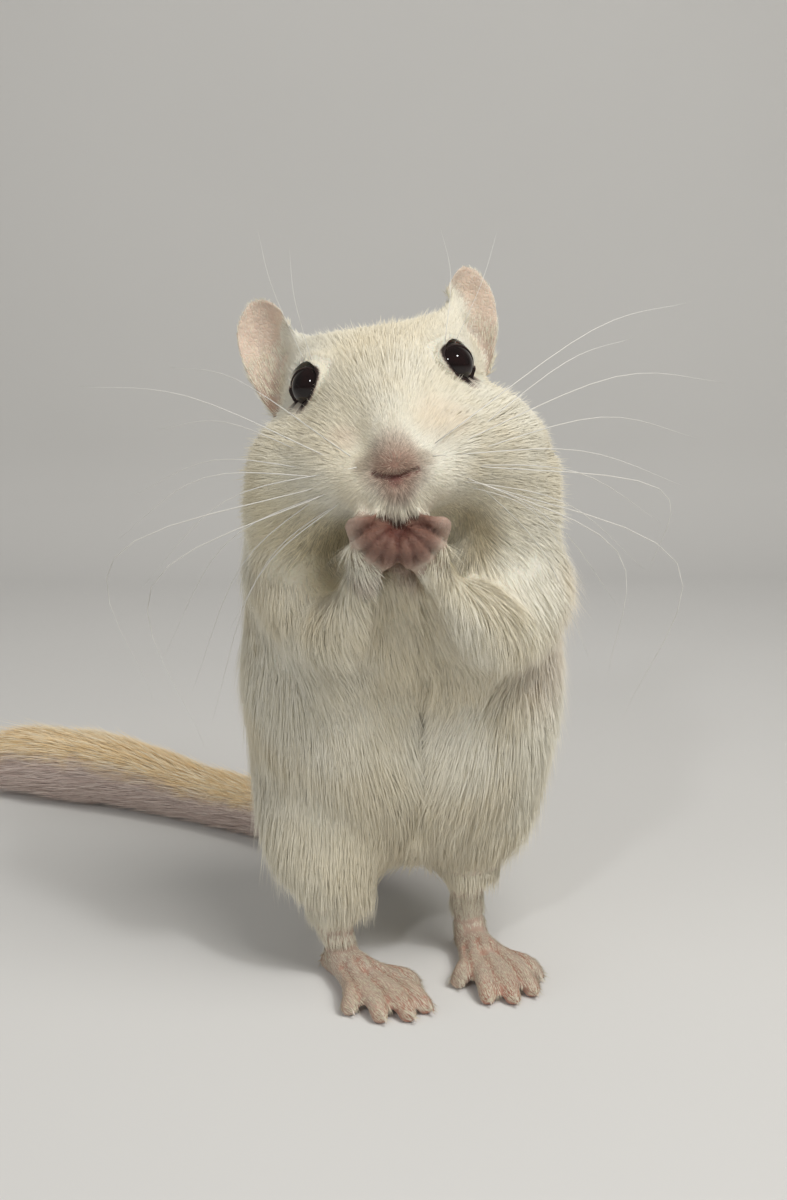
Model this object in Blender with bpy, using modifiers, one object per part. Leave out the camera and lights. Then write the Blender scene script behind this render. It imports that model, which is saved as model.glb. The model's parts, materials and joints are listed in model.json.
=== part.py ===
# A Mongolian gerbil at life size, standing on its hind feet with both hands at its mouth.
# Metres, +Z up. It faces -Y, so its own left side is +X. All sizes are life sizes in millimetres times MM.
# The outline is that of the coat. The body is modelled whole, then parted with thin cuts into named pieces.

import math
import random

import bmesh
import bpy
from mathutils import Matrix, Vector
from mathutils.bvhtree import BVHTree

MM = 0.001
GAP = 0.3 * MM  # clearance that neighbouring pieces keep
SIDES = {"left": 1.0, "right": -1.0}

# Head: the eyes' midpoint is its reference point, and it leans over to the animal's right.
EYES_MIDDLE = Vector((-2.7, -15.0, 88.0)) * MM
HEAD_ROLL = math.radians(-8.5)
HEAD = Matrix.Translation(EYES_MIDDLE) @ Matrix.Rotation(HEAD_ROLL, 4, "Y")
EYE_RADIUS = 2.75 * MM
EYE_OFFSET = 9.5 * MM  # from the midline to each eyeball's centre
EYE_AXIS = Vector((0.80, -0.58, 0.16))  # the way the left eye looks, in the head's frame
LID_THICKNESS = 0.55 * MM
LID_LIFT = 1.15 * MM  # how far out along the eye's axis the lids' rim lies

EAR_HEIGHT = 16.6
EAR_THICKNESS = 1.0
EAR_LEAN = 11.0  # degrees outwards
EAR_TURNS = {"left": 32.0, "right": 14.0}  # degrees that the cup's mouth turns from straight ahead to the side
EAR_ROOTS = {"left": (12.0, 8.6, -4.6), "right": (-13.7, 8.6, -4.6)}
# Half width, depth of the cup and lean backwards of the ear, from its root up to its widest level and its tip.
EAR_ROWS = ((2.4, 2.0, 0.0), (3.2, 3.0, 0.0), (4.0, 3.4, 0.3), (4.4, 3.0, 0.9), (4.4, 2.2, 1.7), (4.3, 0.6, 2.8))
EAR_WIDEST = 0.64

# Torso: height, half width, front and back of each level, from the rump up to the nape.
TORSO_LEVELS = (
    (12.0, 7.0, 3.0, 17.0),
    (15.0, 14.0, -5.0, 21.5),
    (20.0, 18.9, -11.5, 25.0),
    (27.0, 22.0, -16.0, 26.8),
    (35.0, 24.2, -18.2, 26.8),
    (45.0, 24.9, -18.2, 25.0),
    (54.0, 24.0, -16.8, 22.5),
    (62.0, 23.9, -14.5, 19.5),
    (70.0, 22.8, -12.0, 16.5),
    (77.0, 20.3, -9.0, 14.0),
    (83.0, 16.0, -6.0, 11.0),
    (88.5, 9.0, -3.0, 7.0),
)
TORSO_FULLNESS = 2.15  # exponent of each level's rounded outline
TORSO_MIDDLE = -0.4  # the body's midline
FURROW_DEPTH = 1.5  # of the parting down the belly
FURROW_WIDTH = 3.0
CORE_TRIANGLES = (1150, 420, 1300, 620)  # of the torso, the neck, the head and the muzzle
NECK_CUT = (Vector((0.0, -2.0, 64.5)) * MM, Vector((0.0, -0.72, 0.69)))
HEAD_CUT = (Vector((0.0, -3.5, 74.0)) * MM, Vector((0.0, -0.80, 0.60)))
MUZZLE_CUT = (Vector((0.0, -7.0, -8.0)) * MM, Vector((0.0, -0.95, -0.30)))  # in the head's frame

# Arms: shoulder, elbow and wrist, with the coat's radius there.
ARM_POINTS = {
    "left": ((16.5, -6.0, 60.0), (15.6, -13.5, 56.2), (11.6, -19.5, 54.6), (7.4, -24.0, 57.8), (4.4, -27.3, 62.2)),
    "right": ((-16.5, -6.0, 61.0), (-13.6, -14.0, 56.8), (-9.4, -20.2, 54.2), (-6.6, -24.4, 57.6), (-5.0, -27.3, 62.2)),
}
ARM_RADII = {"left": (8.2, 8.0, 6.9, 5.2, 2.6), "right": (7.6, 7.4, 6.2, 4.6, 2.5)}
ELBOW_SHARE = 0.47  # of the arm's run, where the forearm begins
WRIST_SHARE = 0.97
HAND_MIDLINE = -0.6 * MM  # the plane that the two hands share
# Root, knuckle and tip of each finger of the left hand, from the one nearest the body to the highest.
FINGERS = (
    ((1.5, -28.4, 64.5), (1.35, -30.8, 64.9), (0.5, -31.3, 68.5)),
    ((3.4, -28.4, 64.8), (3.5, -30.8, 65.3), (0.9, -31.3, 68.9)),
    ((5.0, -28.4, 66.2), (5.1, -30.6, 66.8), (1.2, -31.3, 69.5)),
    ((5.5, -28.4, 68.0), (5.7, -30.0, 69.4), (2.6, -31.0, 71.0)),
)

# Legs: hip, knee, the end of the fur and the ankle, with the coat's radius there.
LEG_POINTS = {
    "left": ((11.0, 7.0, 31.5), (11.0, 0.5, 24.5), (9.6, 0.0, 18.4), (9.5, 0.8, 11.8), (9.9, 0.9, 6.6)),
    "right": ((-12.0, 6.0, 30.5), (-11.8, -4.0, 22.0), (-9.6, -7.0, 16.6), (-9.8, -7.4, 9.2), (-9.2, -7.0, 5.4)),
}
LEG_RADII = {"left": (13.0, 10.6, 7.6, 3.0, 2.6), "right": (13.2, 10.9, 8.6, 2.9, 2.4)}
THIGH_INNER = 1.4 * MM  # how near the midline a thigh comes inside the body
FOOT_HEEL = {"left": Vector((9.2, 4.4, 0.0)) * MM, "right": Vector((-11.2, -3.8, 0.0)) * MM}
FOOT_TURN = {"left": math.radians(16.0), "right": math.radians(32.2)}  # from straight ahead towards +X
FOOT_LENGTH = 24.5 * MM
# Each toe from the outermost in: its root's place across the foot, its reach along the foot, its tip's place across.
TOES = ((-3.0, 0.75, -5.9), (-1.9, 0.93, -3.6), (-0.1, 1.0, -0.1), (1.7, 0.96, 3.3), (3.0, 0.70, 5.5))

# Tail: it leaves the rump, comes down to the floor and runs out behind to the animal's right.
TAIL_POINTS = (
    (0.0, 18.0, 15.0), (-3.0, 27.0, 11.0), (-9.0, 38.0, 7.4), (-18.0, 49.0, 6.0),
    (-30.0, 59.0, 5.8), (-44.0, 68.0, 5.9), (-58.0, 75.0, 5.9), (-72.0, 80.5, 5.2), (-83.0, 84.0, 3.6),
)
TAIL_RADII = (6.6, 6.1, 5.9, 5.9, 6.0, 6.1, 6.0, 5.0, 2.6)
TAIL_CUTS = (0.33, 0.56, 0.78)  # shares of its run


def clear_scene():
    for thing in list(bpy.data.objects):
        bpy.data.objects.remove(thing)


def catmull(points, share):
    """The point at a share of the run of a smooth curve through points, which may hold any numbers."""
    spans = len(points) - 1
    along = min(max(share, 0.0), 1.0) * spans
    i = min(int(along), spans - 1)
    t = along - i
    p1, p2 = points[i], points[i + 1]
    p0 = points[i - 1] if i > 0 else [2 * a - b for a, b in zip(p1, p2)]
    p3 = points[i + 2] if i + 2 <= spans else [2 * b - a for a, b in zip(p1, p2)]
    return [
        0.5 * (2 * b + (c - a) * t + (2 * a - 5 * b + 4 * c - d) * t * t + (3 * b - a - 3 * c + d) * t ** 3)
        for a, b, c, d in zip(p0, p1, p2, p3)
    ]


def add_ball(bm, centre, radii, place=Matrix.Identity(4), fullness=2.0):
    """A ball or egg of the given half sizes, in millimetres, in the frame of place. More fullness makes it boxy."""
    size = Matrix.Diagonal((*[r * MM for r in radii], 1.0))
    where = place @ Matrix.Translation(Vector(centre) * MM) @ size
    for vert in bmesh.ops.create_icosphere(bm, subdivisions=3, radius=1.0)["verts"]:
        vert.co *= sum(abs(c) ** fullness for c in vert.co) ** (-1 / fullness)
        vert.co = where @ vert.co


def add_limb(bm, points, radii, place=Matrix.Identity(4)):
    """A tapered limb: balls set close along a smooth curve through points, in millimetres."""
    rows = [(*p, r) for p, r in zip(points, radii)]
    share = 0.0
    while share < 1.0:
        x, y, z, r = catmull(rows, share)
        where = place @ Matrix.Translation(Vector((x, y, z)) * MM) @ Matrix.Scale(r * MM, 4)
        bmesh.ops.create_icosphere(bm, subdivisions=2, radius=1.0, matrix=where)
        ahead = catmull(rows, min(share + 0.01, 1.0))
        speed = max((Vector(ahead[:3]) - Vector((x, y, z))).length, 0.02) / 0.01
        share += 0.3 * r / speed
    x, y, z, r = rows[-1]
    add_ball(bm, (x, y, z), (r, r, r), place)


def new_object(name, bm):
    mesh = bpy.data.meshes.new(name)
    bm.to_mesh(mesh)
    bm.free()
    thing = bpy.data.objects.new(name, mesh)
    bpy.context.scene.collection.objects.link(thing)
    return thing


def move_to(thing, collection):
    for old in list(thing.users_collection):
        old.objects.unlink(thing)
    collection.objects.link(thing)


def bake_modifiers(thing):
    """Puts the object's modifiers into its mesh."""
    graph = bpy.context.evaluated_depsgraph_get()
    mesh = bpy.data.meshes.new_from_object(thing.evaluated_get(graph))
    thing.modifiers.clear()
    thing.data = mesh
    return thing


def grow_flesh(thing, voxel, rounds):
    """Fuses the shapes of one object into one smooth skin."""
    remesh = thing.modifiers.new("Fuse", "REMESH")
    remesh.mode = "VOXEL"
    remesh.voxel_size = voxel * MM
    soften = thing.modifiers.new("Soften", "SMOOTH")
    soften.factor = 0.5
    soften.iterations = rounds
    return bake_modifiers(thing)


def keep_largest(thing):
    """Drops all but the largest closed surface of an object."""
    bm = bmesh.new()
    bm.from_mesh(thing.data)
    bm.faces.ensure_lookup_table()
    seen, groups = set(), []
    for face in bm.faces:
        if face in seen:
            continue
        group, front = {face}, [face]
        while front:
            for edge in front.pop().edges:
                for other in edge.link_faces:
                    if other not in group:
                        group.add(other)
                        front.append(other)
        seen |= group
        groups.append(group)
    groups.sort(key=lambda group: sum(f.calc_area() for f in group), reverse=True)
    loose = [face for group in groups[1:] for face in group]
    bmesh.ops.delete(bm, geom=loose, context="FACES")
    bmesh.ops.delete(bm, geom=[v for v in bm.verts if not v.link_faces], context="VERTS")
    bm.to_mesh(thing.data)
    bm.free()
    return thing


def boolean(thing, other, operation, solver="EXACT"):
    cut = thing.modifiers.new("Cut", "BOOLEAN")
    cut.operation = operation
    cut.solver = solver
    cut.object = other
    bake_modifiers(thing)
    return keep_largest(thing)


def join_all(thing, pieces):
    """Joins closed pieces to an object with one Boolean union, and removes them."""
    group = bpy.data.collections.new("joining")
    bpy.context.scene.collection.children.link(group)
    for piece in pieces:
        move_to(piece, group)
    union = thing.modifiers.new("Join", "BOOLEAN")
    union.operation = "UNION"
    union.operand_type = "COLLECTION"
    union.solver = "EXACT"
    union.collection = group
    bake_modifiers(thing)
    for piece in pieces:
        bpy.data.objects.remove(piece)
    bpy.data.collections.remove(group)
    return keep_largest(thing)


def swollen(thing, by=GAP):
    """A copy of an object with its surface moved out along its normals."""
    copy = thing.copy()
    copy.data = thing.data.copy()
    bpy.context.scene.collection.objects.link(copy)
    swell = copy.modifiers.new("Swell", "DISPLACE")
    swell.direction = "NORMAL"
    swell.mid_level = 0.0
    swell.strength = by
    return bake_modifiers(copy)


def carve(thing, *neighbours):
    """Cuts the room that neighbours need, with their gap, out of an object."""
    for neighbour in neighbours:
        cutter = swollen(neighbour)
        boolean(thing, cutter, "DIFFERENCE")
        bpy.data.objects.remove(cutter)
    return thing


def slice_off(thing, name, point, normal, gap=GAP):
    """Parts an object at a plane. What lies ahead of the plane becomes a new object, and half a gap is lost on each side."""
    ahead = thing.copy()
    ahead.data = thing.data.copy()
    ahead.name = name
    bpy.context.scene.collection.objects.link(ahead)
    normal = normal.normalized()
    for piece, way in ((thing, normal), (ahead, -normal)):
        trim(piece, point - way * gap / 2, way)
    return ahead


def trim(thing, point, normal):
    """Removes what lies ahead of a plane and closes the cut with a flat face."""
    bm = bmesh.new()
    bm.from_mesh(thing.data)
    everything = bm.verts[:] + bm.edges[:] + bm.faces[:]
    bmesh.ops.bisect_plane(bm, geom=everything, dist=1e-7, plane_co=point, plane_no=normal, clear_outer=True)
    rim = [e for e in bm.edges if e.is_boundary]
    bmesh.ops.holes_fill(bm, edges=rim, sides=0)
    bmesh.ops.triangulate(bm, faces=[f for f in bm.faces if len(f.verts) > 4])
    bm.to_mesh(thing.data)
    bm.free()
    return keep_largest(thing)


def surface_point(tree, start, way):
    """Where a ray from start meets a surface, in metres."""
    found = tree.ray_cast(start, way.normalized())[0]
    return found if found is not None else start


def tree_of(thing):
    graph = bpy.context.evaluated_depsgraph_get()
    return BVHTree.FromObject(thing, graph)


def spike(name, points, widths, thickness, sides):
    """A closed tapered blade along points: widths across it, thickness as a share of the width, pointed at the end."""
    bm = bmesh.new()
    rings = []
    ways = [(points[min(i + 1, len(points) - 1)] - points[max(i - 1, 0)]).normalized() for i in range(len(points))]
    flat = ways[0].orthogonal().normalized() if thickness == 1.0 else ways[0].cross(Vector((0.0, 0.0, 1.0))).normalized()
    for point, way, width in zip(points[:-1], ways, widths):
        across = (flat - way * flat.dot(way)).normalized()
        up = way.cross(across)
        rings.append([
            bm.verts.new(point + across * math.cos(a) * width / 2 + up * math.sin(a) * width * thickness / 2)
            for a in [2 * math.pi * k / sides for k in range(sides)]
        ])
    tip = bm.verts.new(points[-1])
    bm.faces.new(rings[0])
    for low, high in zip(rings, rings[1:]):
        for k in range(sides):
            n = (k + 1) % sides
            bm.faces.new((low[k], low[n], high[n], high[k]))
    for k in range(sides):
        bm.faces.new((rings[-1][k], rings[-1][(k + 1) % sides], tip))
    bmesh.ops.triangulate(bm, faces=bm.faces)
    bmesh.ops.recalc_face_normals(bm, faces=bm.faces)
    return new_object(name, bm)


def add_torso(bm):
    """A loft of rounded levels, fuller at the haunches, which narrows to the nape."""
    around, steps = 48, 44
    rings = []
    for i in range(steps + 1):
        z, half, front, back = catmull(TORSO_LEVELS, i / steps)
        middle, depth = (front + back) / 2, (back - front) / 2
        ring = []
        for k in range(around):
            a = 2 * math.pi * k / around
            c, s = math.cos(a), math.sin(a)
            x = half * math.copysign(abs(c) ** (2 / TORSO_FULLNESS), c)
            y = middle + depth * math.copysign(abs(s) ** (2 / TORSO_FULLNESS), s)
            if s < 0:
                y += FURROW_DEPTH * math.exp(-(x / FURROW_WIDTH) ** 2) * min(1.0, max(0.0, (58 - z) / 20))
            ring.append(bm.verts.new(Vector((x + TORSO_MIDDLE, y, z)) * MM))
        rings.append(ring)
    for low, high in zip(rings, rings[1:]):
        for k in range(around):
            n = (k + 1) % around
            bm.faces.new((low[k], low[n], high[n], high[k]))
    bm.faces.new(rings[0][::-1])
    bm.faces.new(rings[-1])


def add_head(bm):
    """Cranium, brow, bridge of the nose, whisker pads, jaw and cheeks, in the head's frame."""
    add_ball(bm, (-0.3, 9.5, -5.4), (12.5, 13.5, 12.1), HEAD)
    add_ball(bm, (0, 1.0, -5.0), (10.7, 9.5, 9.2), HEAD, 2.5)
    add_limb(bm, [(0, -2, -4.2), (0, -8.5, -7.6), (0, -13.0, -9.9)], (7.6, 5.4, 3.1), HEAD)
    add_ball(bm, (0, -14.5, -10.9), (3.1, 2.8, 2.5), HEAD)
    for side in SIDES.values():
        add_ball(bm, (5.4 * side - 0.3, 7.6, -3.6), (9.0, 11.5, 10.2), HEAD, 2.5)
        add_ball(bm, (6.0 * side, -0.6, -5.6), (5.8, 6.0, 6.6), HEAD)
        add_ball(bm, (3.9 * side, -11.0, -13.6), (4.8, 5.2, 4.2), HEAD)
        add_ball(bm, (11.6 * side - 0.3, 2.2, -12.7), (9.5, 10.4, 9.8), HEAD)
        add_ball(bm, (7.2 * side, -5.4, -11.6), (7.2, 8.2, 7.4), HEAD)
    add_ball(bm, (0, -8.6, -17.0), (4.4, 5.6, 3.2), HEAD)
    add_limb(bm, [(0, -6, -16), (0, 4, -17.5)], (4.5, 8.5), HEAD)


def reduce_to(thing, triangles):
    """Thins a mesh to about the given number of triangles."""
    thing.data.calc_loop_triangles()
    reduce = thing.modifiers.new("Reduce", "DECIMATE")
    reduce.ratio = min(1.0, triangles / len(thing.data.loop_triangles))
    reduce.use_collapse_triangulate = True
    return bake_modifiers(thing)


def make_core():
    """Torso, neck, head and muzzle: one skin, parted by planes and then thinned, most where it is plain."""
    bm = bmesh.new()
    add_torso(bm)
    add_head(bm)
    torso = grow_flesh(new_object("torso", bm), voxel=0.6, rounds=14)
    neck = slice_off(torso, "neck", *NECK_CUT)
    head = slice_off(neck, "head", *HEAD_CUT)
    muzzle = slice_off(head, "muzzle", HEAD @ MUZZLE_CUT[0], HEAD.to_3x3() @ MUZZLE_CUT[1])
    for thing, triangles in zip((torso, neck, head, muzzle), CORE_TRIANGLES):
        reduce_to(thing, triangles)
    return torso, neck, head, muzzle


def make_eye(name, side):
    bm = bmesh.new()
    place = HEAD @ Matrix.Translation((EYE_OFFSET * side, 0, 0))
    bmesh.ops.create_icosphere(bm, subdivisions=3, radius=EYE_RADIUS, matrix=place)
    return new_object(name, bm)


def make_lids(name, side):
    """The rim of both lids: a ring round the eye, a little longer towards the nose and the ear."""
    axis = Vector((EYE_AXIS.x * side, EYE_AXIS.y, EYE_AXIS.z)).normalized()
    ring = math.sqrt(EYE_RADIUS ** 2 - LID_LIFT ** 2) + 0.45 * MM
    bpy.ops.mesh.primitive_torus_add(
        major_segments=28, minor_segments=8, major_radius=ring, minor_radius=LID_THICKNESS)
    lids = bpy.context.object
    lids.name = name
    centre = Vector((EYE_OFFSET * side, 0, 0)) + axis * LID_LIFT
    turn = axis.to_track_quat("Z", "Y").to_matrix().to_4x4()
    stretch = Matrix.Diagonal((1.06, 0.97, 1.0, 1.0))
    lids.data.transform(HEAD @ Matrix.Translation(centre) @ turn @ stretch)
    return lids


def groove(name, tree, points, radius, way):
    """A cutter that follows a surface: points are in the head's frame, and each is moved along way onto the surface."""
    bm = bmesh.new()
    turned = HEAD.to_3x3() @ Vector(way)
    found = [surface_point(tree, HEAD @ (Vector(p) * MM), turned) / MM for p in points]
    add_limb(bm, [tuple(p) for p in found], [radius] * len(found))
    return reduce_to(grow_flesh(new_object(name, bm), voxel=0.2, rounds=3), 180)


def cut_face(muzzle):
    """Nostrils, the cleft below them and the line of the mouth."""
    tree = tree_of(muzzle)
    cutters = [groove("cleft", tree, [(0, -30, -13.0), (0, -30, -14.6), (0, -30, -15.8)], 0.35, (0, 1, 0))]
    for side in SIDES.values():
        nostril = [(x * side, -30, z) for x, z in ((0.6, -12.4), (1.5, -12.1), (2.3, -11.3))]
        cutters.append(groove("nostril", tree, nostril, 0.45, (0, 1, 0)))
    lips = [(x * 1.5, -30, -16.4 - 0.05 * x * x) for x in range(-3, 4)]
    cutters.append(groove("mouth", tree, lips, 0.4, (0, 1, 0)))
    for cutter in cutters:
        boolean(muzzle, cutter, "DIFFERENCE")
        bpy.data.objects.remove(cutter)
    return muzzle


def make_ear(side_name, head):
    """A thin cup, open to the front, that narrows to its root and leans out from the head."""
    side = SIDES[side_name]
    rows, columns = 14, 12
    bm = bmesh.new()
    grid = []
    for i in range(rows + 1):
        v = math.sin(math.pi / 2 * i / rows)
        half, bow, lean_back = catmull(EAR_ROWS, v)
        if v > EAR_WIDEST:
            half *= math.sqrt(max(0.004, 1 - ((v - EAR_WIDEST) / (1 - EAR_WIDEST)) ** 2))
        row = []
        for k in range(columns + 1):
            u = 2 * k / columns - 1
            row.append(bm.verts.new(Vector((u * half, bow * (1 - u * u) + lean_back, EAR_HEIGHT * v)) * MM))
        grid.append(row)
    for low, high in zip(grid, grid[1:]):
        for k in range(columns):
            bm.faces.new((low[k], low[k + 1], high[k + 1], high[k]))
    bmesh.ops.recalc_face_normals(bm, faces=bm.faces)
    ear = new_object(f"ear_{side_name}", bm)
    shell = ear.modifiers.new("Shell", "SOLIDIFY")
    shell.thickness = EAR_THICKNESS * MM
    shell.offset = 0.0
    grow_flesh(ear, voxel=0.25, rounds=5)
    reduce_to(ear, 400)
    lean = Matrix.Rotation(math.radians(EAR_LEAN) * side, 4, "Y")
    face_out = Matrix.Rotation(math.radians(EAR_TURNS[side_name]) * side, 4, "Z")
    place = Matrix.Translation(Vector(EAR_ROOTS[side_name]) * MM)
    ear.data.transform(HEAD @ place @ lean @ face_out)
    return carve(ear, head)


def plane_at(points, share):
    """A point of a path and the direction that the path takes there."""
    here, ahead = Vector(catmull(points, share)), Vector(catmull(points, share + 0.01))
    return here * MM, (ahead - here).normalized()


def make_arm(side_name):
    """Upper arm, forearm and hand of one side. The arm is folded, with its hand under the mouth."""
    points = ARM_POINTS[side_name]
    bm = bmesh.new()
    add_limb(bm, points, ARM_RADII[side_name])
    upper = reduce_to(grow_flesh(new_object(f"upper_arm_{side_name}", bm), voxel=0.6, rounds=8), 460)
    fore = slice_off(upper, f"forearm_{side_name}", *plane_at(points, ELBOW_SHARE))
    wrist, way = plane_at(points, WRIST_SHARE)
    trim(fore, wrist - way * GAP / 2, way)
    return upper, fore, (wrist + way * GAP / 2, -way)


def make_hand(side_name, wrist_cut):
    """A curled hand: a round palm and four fingers that close on the other hand's under the mouth."""
    side = SIDES[side_name]
    middle = HAND_MIDLINE / MM
    bm = bmesh.new()
    wrist = tuple(wrist_cut[0] / MM + wrist_cut[1])
    add_limb(bm, [wrist, (3.8 * side + middle, -28.2, 64.4)], (2.3, 2.4))
    add_ball(bm, (3.1 * side + middle, -29.0, 67.3), (3.3, 2.3, 3.4))
    for root, knuckle, tip in FINGERS:
        bend = Vector(knuckle) * 0.5 + Vector(tip) * 0.5 + Vector((0.0, -1.3, 0.0))
        finger = [(x * side + middle, y, z) for x, y, z in (root, knuckle, tuple(bend), tip)]
        add_limb(bm, finger, (1.15, 1.1, 1.0, 0.6))
    hand = reduce_to(grow_flesh(new_object(f"hand_{side_name}", bm), voxel=0.22, rounds=2), 540)
    trim(hand, *wrist_cut)
    return trim(hand, Vector((HAND_MIDLINE + side * GAP / 2, 0, 0)), Vector((-side, 0, 0)))


def make_leg(side_name):
    """Thigh with the haunch, and the shank that shows below its fur."""
    bm = bmesh.new()
    points = LEG_POINTS[side_name]
    add_limb(bm, points, LEG_RADII[side_name])
    thigh = reduce_to(grow_flesh(new_object(f"thigh_{side_name}", bm), voxel=0.7, rounds=8), 400)
    side = SIDES[side_name]
    trim(thigh, Vector((side * THIGH_INNER, 0, 0)), Vector((-side, 0, 0)))
    end_of_fur, ankle = Vector(points[3]) * MM, Vector(points[4]) * MM
    down = (ankle - end_of_fur).normalized()
    shank = slice_off(thigh, f"shank_{side_name}", end_of_fur - down * 2.5 * MM, down)
    trim(shank, ankle - down * GAP / 2, down)
    return thigh, shank, (ankle + down * GAP / 2, -down)


def make_foot(side_name, ankle_cut):
    """A long hind foot, flat on the floor: heel, instep and five toes with claws."""
    turn = FOOT_TURN[side_name]
    ahead = Vector((math.sin(turn), -math.cos(turn), 0.0))
    inward = -SIDES[side_name]
    across = Vector((math.cos(turn), math.sin(turn), 0.0)) * inward
    heel = FOOT_HEEL[side_name]
    unit = FOOT_LENGTH / MM

    def at(along, aside, height):
        spot = heel + ahead * along * FOOT_LENGTH + across * aside * MM
        return (spot.x / MM, spot.y / MM, height)

    bm = bmesh.new()
    ankle = ankle_cut[0] / MM
    add_limb(bm, [tuple(ankle + Vector((0, 0, 1.0))), at(0.2, 0, 3.2), at(0.42, 0, 2.8)], (2.5, 2.6, 2.4))
    add_limb(bm, [at(0.05, 0, 1.3), at(0.2, 0, 1.6), at(0.5, 0, 1.5)], (1.7, 2.1, 2.0))
    for aside, reach, splay in TOES:
        heel_end = at(0.2, aside * 0.2, 2.4)
        root = at(0.48, aside * 0.8, 2.3)
        knuckle = at(0.48 + (reach - 0.48) * 0.6, aside + (splay - aside) * 0.62, 2.3)
        pad = at(reach - 1.8 / unit, splay, 1.0)
        add_limb(bm, [heel_end, root, knuckle, pad], (1.9, 1.9, 1.6, 1.35))
    foot = reduce_to(grow_flesh(new_object(f"foot_{side_name}", bm), voxel=0.32, rounds=3), 600)
    trim(foot, *ankle_cut)
    trim(foot, Vector((0, 0, 0)), Vector((0, 0, -1)))
    claws = []
    for aside, reach, splay in TOES:
        start = Vector(at(reach - 2.4 / unit, splay, 1.5)) * MM
        middle = Vector(at(reach - 0.5 / unit, splay * 1.02, 1.6)) * MM
        tip = Vector(at(reach + 0.9 / unit, splay * 1.05, 0.5)) * MM
        claws.append(spike("claw", [start, middle, tip], [0.9 * MM, 0.75 * MM], 1.0, 4))
    return join_all(foot, claws)


def make_tail():
    """The tail in four lengths that lie on the floor, the last with a tuft of long locks."""
    bm = bmesh.new()
    add_limb(bm, TAIL_POINTS, TAIL_RADII)
    first = reduce_to(grow_flesh(new_object("tail_root", bm), voxel=0.6, rounds=6), 800)
    first.data.transform(Matrix.Translation((0, 0, -0.3 * MM)))
    trim(first, Vector((0, 0, 0)), Vector((0, 0, -1)))
    lengths = [first]
    for share, name in zip(TAIL_CUTS, ("tail_middle", "tail_far", "tail_tuft")):
        here = Vector(catmull(TAIL_POINTS, share)) * MM
        ahead = Vector(catmull(TAIL_POINTS, share + 0.01)) * MM
        lengths.append(slice_off(lengths[-1], name, here, ahead - here))
    add_tuft(lengths[-1])
    return lengths


def add_tuft(tail_end):
    """Flat locks that leave the last length of the tail and close to a point behind it."""
    random.seed(7)
    tree = tree_of(tail_end)
    locks = []
    for ring in range(6):
        share = TAIL_CUTS[-1] + 0.05 + 0.028 * ring
        x, y, z = Vector(catmull(TAIL_POINTS, share)) * MM
        ahead = (Vector(catmull(TAIL_POINTS, share + 0.01)) * MM - Vector((x, y, z))).normalized()
        side = ahead.cross(Vector((0, 0, 1))).normalized()
        for k in range(6):
            angle = math.radians(-28 + 236 * (k + 0.5 * (ring % 2)) / 5.5)
            out = side * math.cos(angle) + Vector((0, 0, 1)) * math.sin(angle)
            root = surface_point(tree, Vector((x, y, z)) + out * 9 * MM, -out)
            length = random.uniform(11.0, 14.0) * MM
            start = root - out * 0.9 * MM
            middle = root + ahead * length * 0.45 + out * 1.5 * MM
            tip = root + ahead * length + out * 1.1 * MM
            tip.z, middle.z = max(tip.z, 0.5 * MM), max(middle.z, 0.7 * MM)
            locks.append(spike("lock", [start, middle, tip], [1.9 * MM, 1.5 * MM], 0.36, 4))
    end = Vector(TAIL_POINTS[-1]) * MM
    last = (end - Vector(TAIL_POINTS[-2]) * MM).normalized()
    start = end - last * 4 * MM
    locks.append(spike("brush", [start, end + last * 3 * MM, end + last * 9 * MM], [2.6 * MM, 2.0 * MM], 0.6, 6))
    return join_all(tail_end, locks)


def add_whiskers(muzzle):
    """The longest whiskers of each pad, as stiff tapered hairs rooted in the pad."""
    tree = tree_of(muzzle)
    whiskers = []
    for side in SIDES.values():
        for row in range(7):
            drop = row / 6
            way = HEAD.to_3x3() @ Vector((-side, 0.25, 0))
            spot = Vector((14.0 * side, -11.6 - 1.6 * (row % 2), -11.6 - 0.85 * row)) * MM
            root = surface_point(tree, HEAD @ spot, way)
            reach = (37.0 - 8.0 * abs(drop - 0.3)) * MM
            rise = (0.16 - 0.95 * drop) * reach
            start = root + way.normalized() * 1.2 * MM
            half_way = root + Vector((side * reach * (0.58 - 0.12 * drop), 2.5 * MM, rise * 0.42))
            tip = root + Vector((side * reach * (1.0 - 0.28 * drop), 12.0 * MM, rise * 1.1))
            run = [start] + [Vector(catmull([root, half_way, tip], share / 5)) for share in range(1, 6)]
            widths = [(0.6 - 0.05 * k) * MM for k in range(len(run) - 1)]
            whiskers.append(spike("whisker", run, widths, 1.0, 3))
    return join_all(muzzle, whiskers)


def stand_at_origin(pieces):
    """Moves the whole animal so that the origin is at the middle of its box, on the floor."""
    corners = [thing.matrix_world @ v.co for thing in pieces for v in thing.data.vertices]
    middle = [(min(c[i] for c in corners) + max(c[i] for c in corners)) / 2 for i in range(2)]
    floor = min(c.z for c in corners)
    for thing in pieces:
        thing.data.transform(Matrix.Translation((-middle[0], -middle[1], -floor)))


def coat_material(name, colour, roughness):
    material = bpy.data.materials.new(name)
    material.use_nodes = True
    shader = material.node_tree.nodes["Principled BSDF"]
    shader.inputs["Base Color"].default_value = (*colour, 1.0)
    shader.inputs["Roughness"].default_value = roughness
    material.diffuse_color = (*colour, 1.0)
    return material


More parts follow.
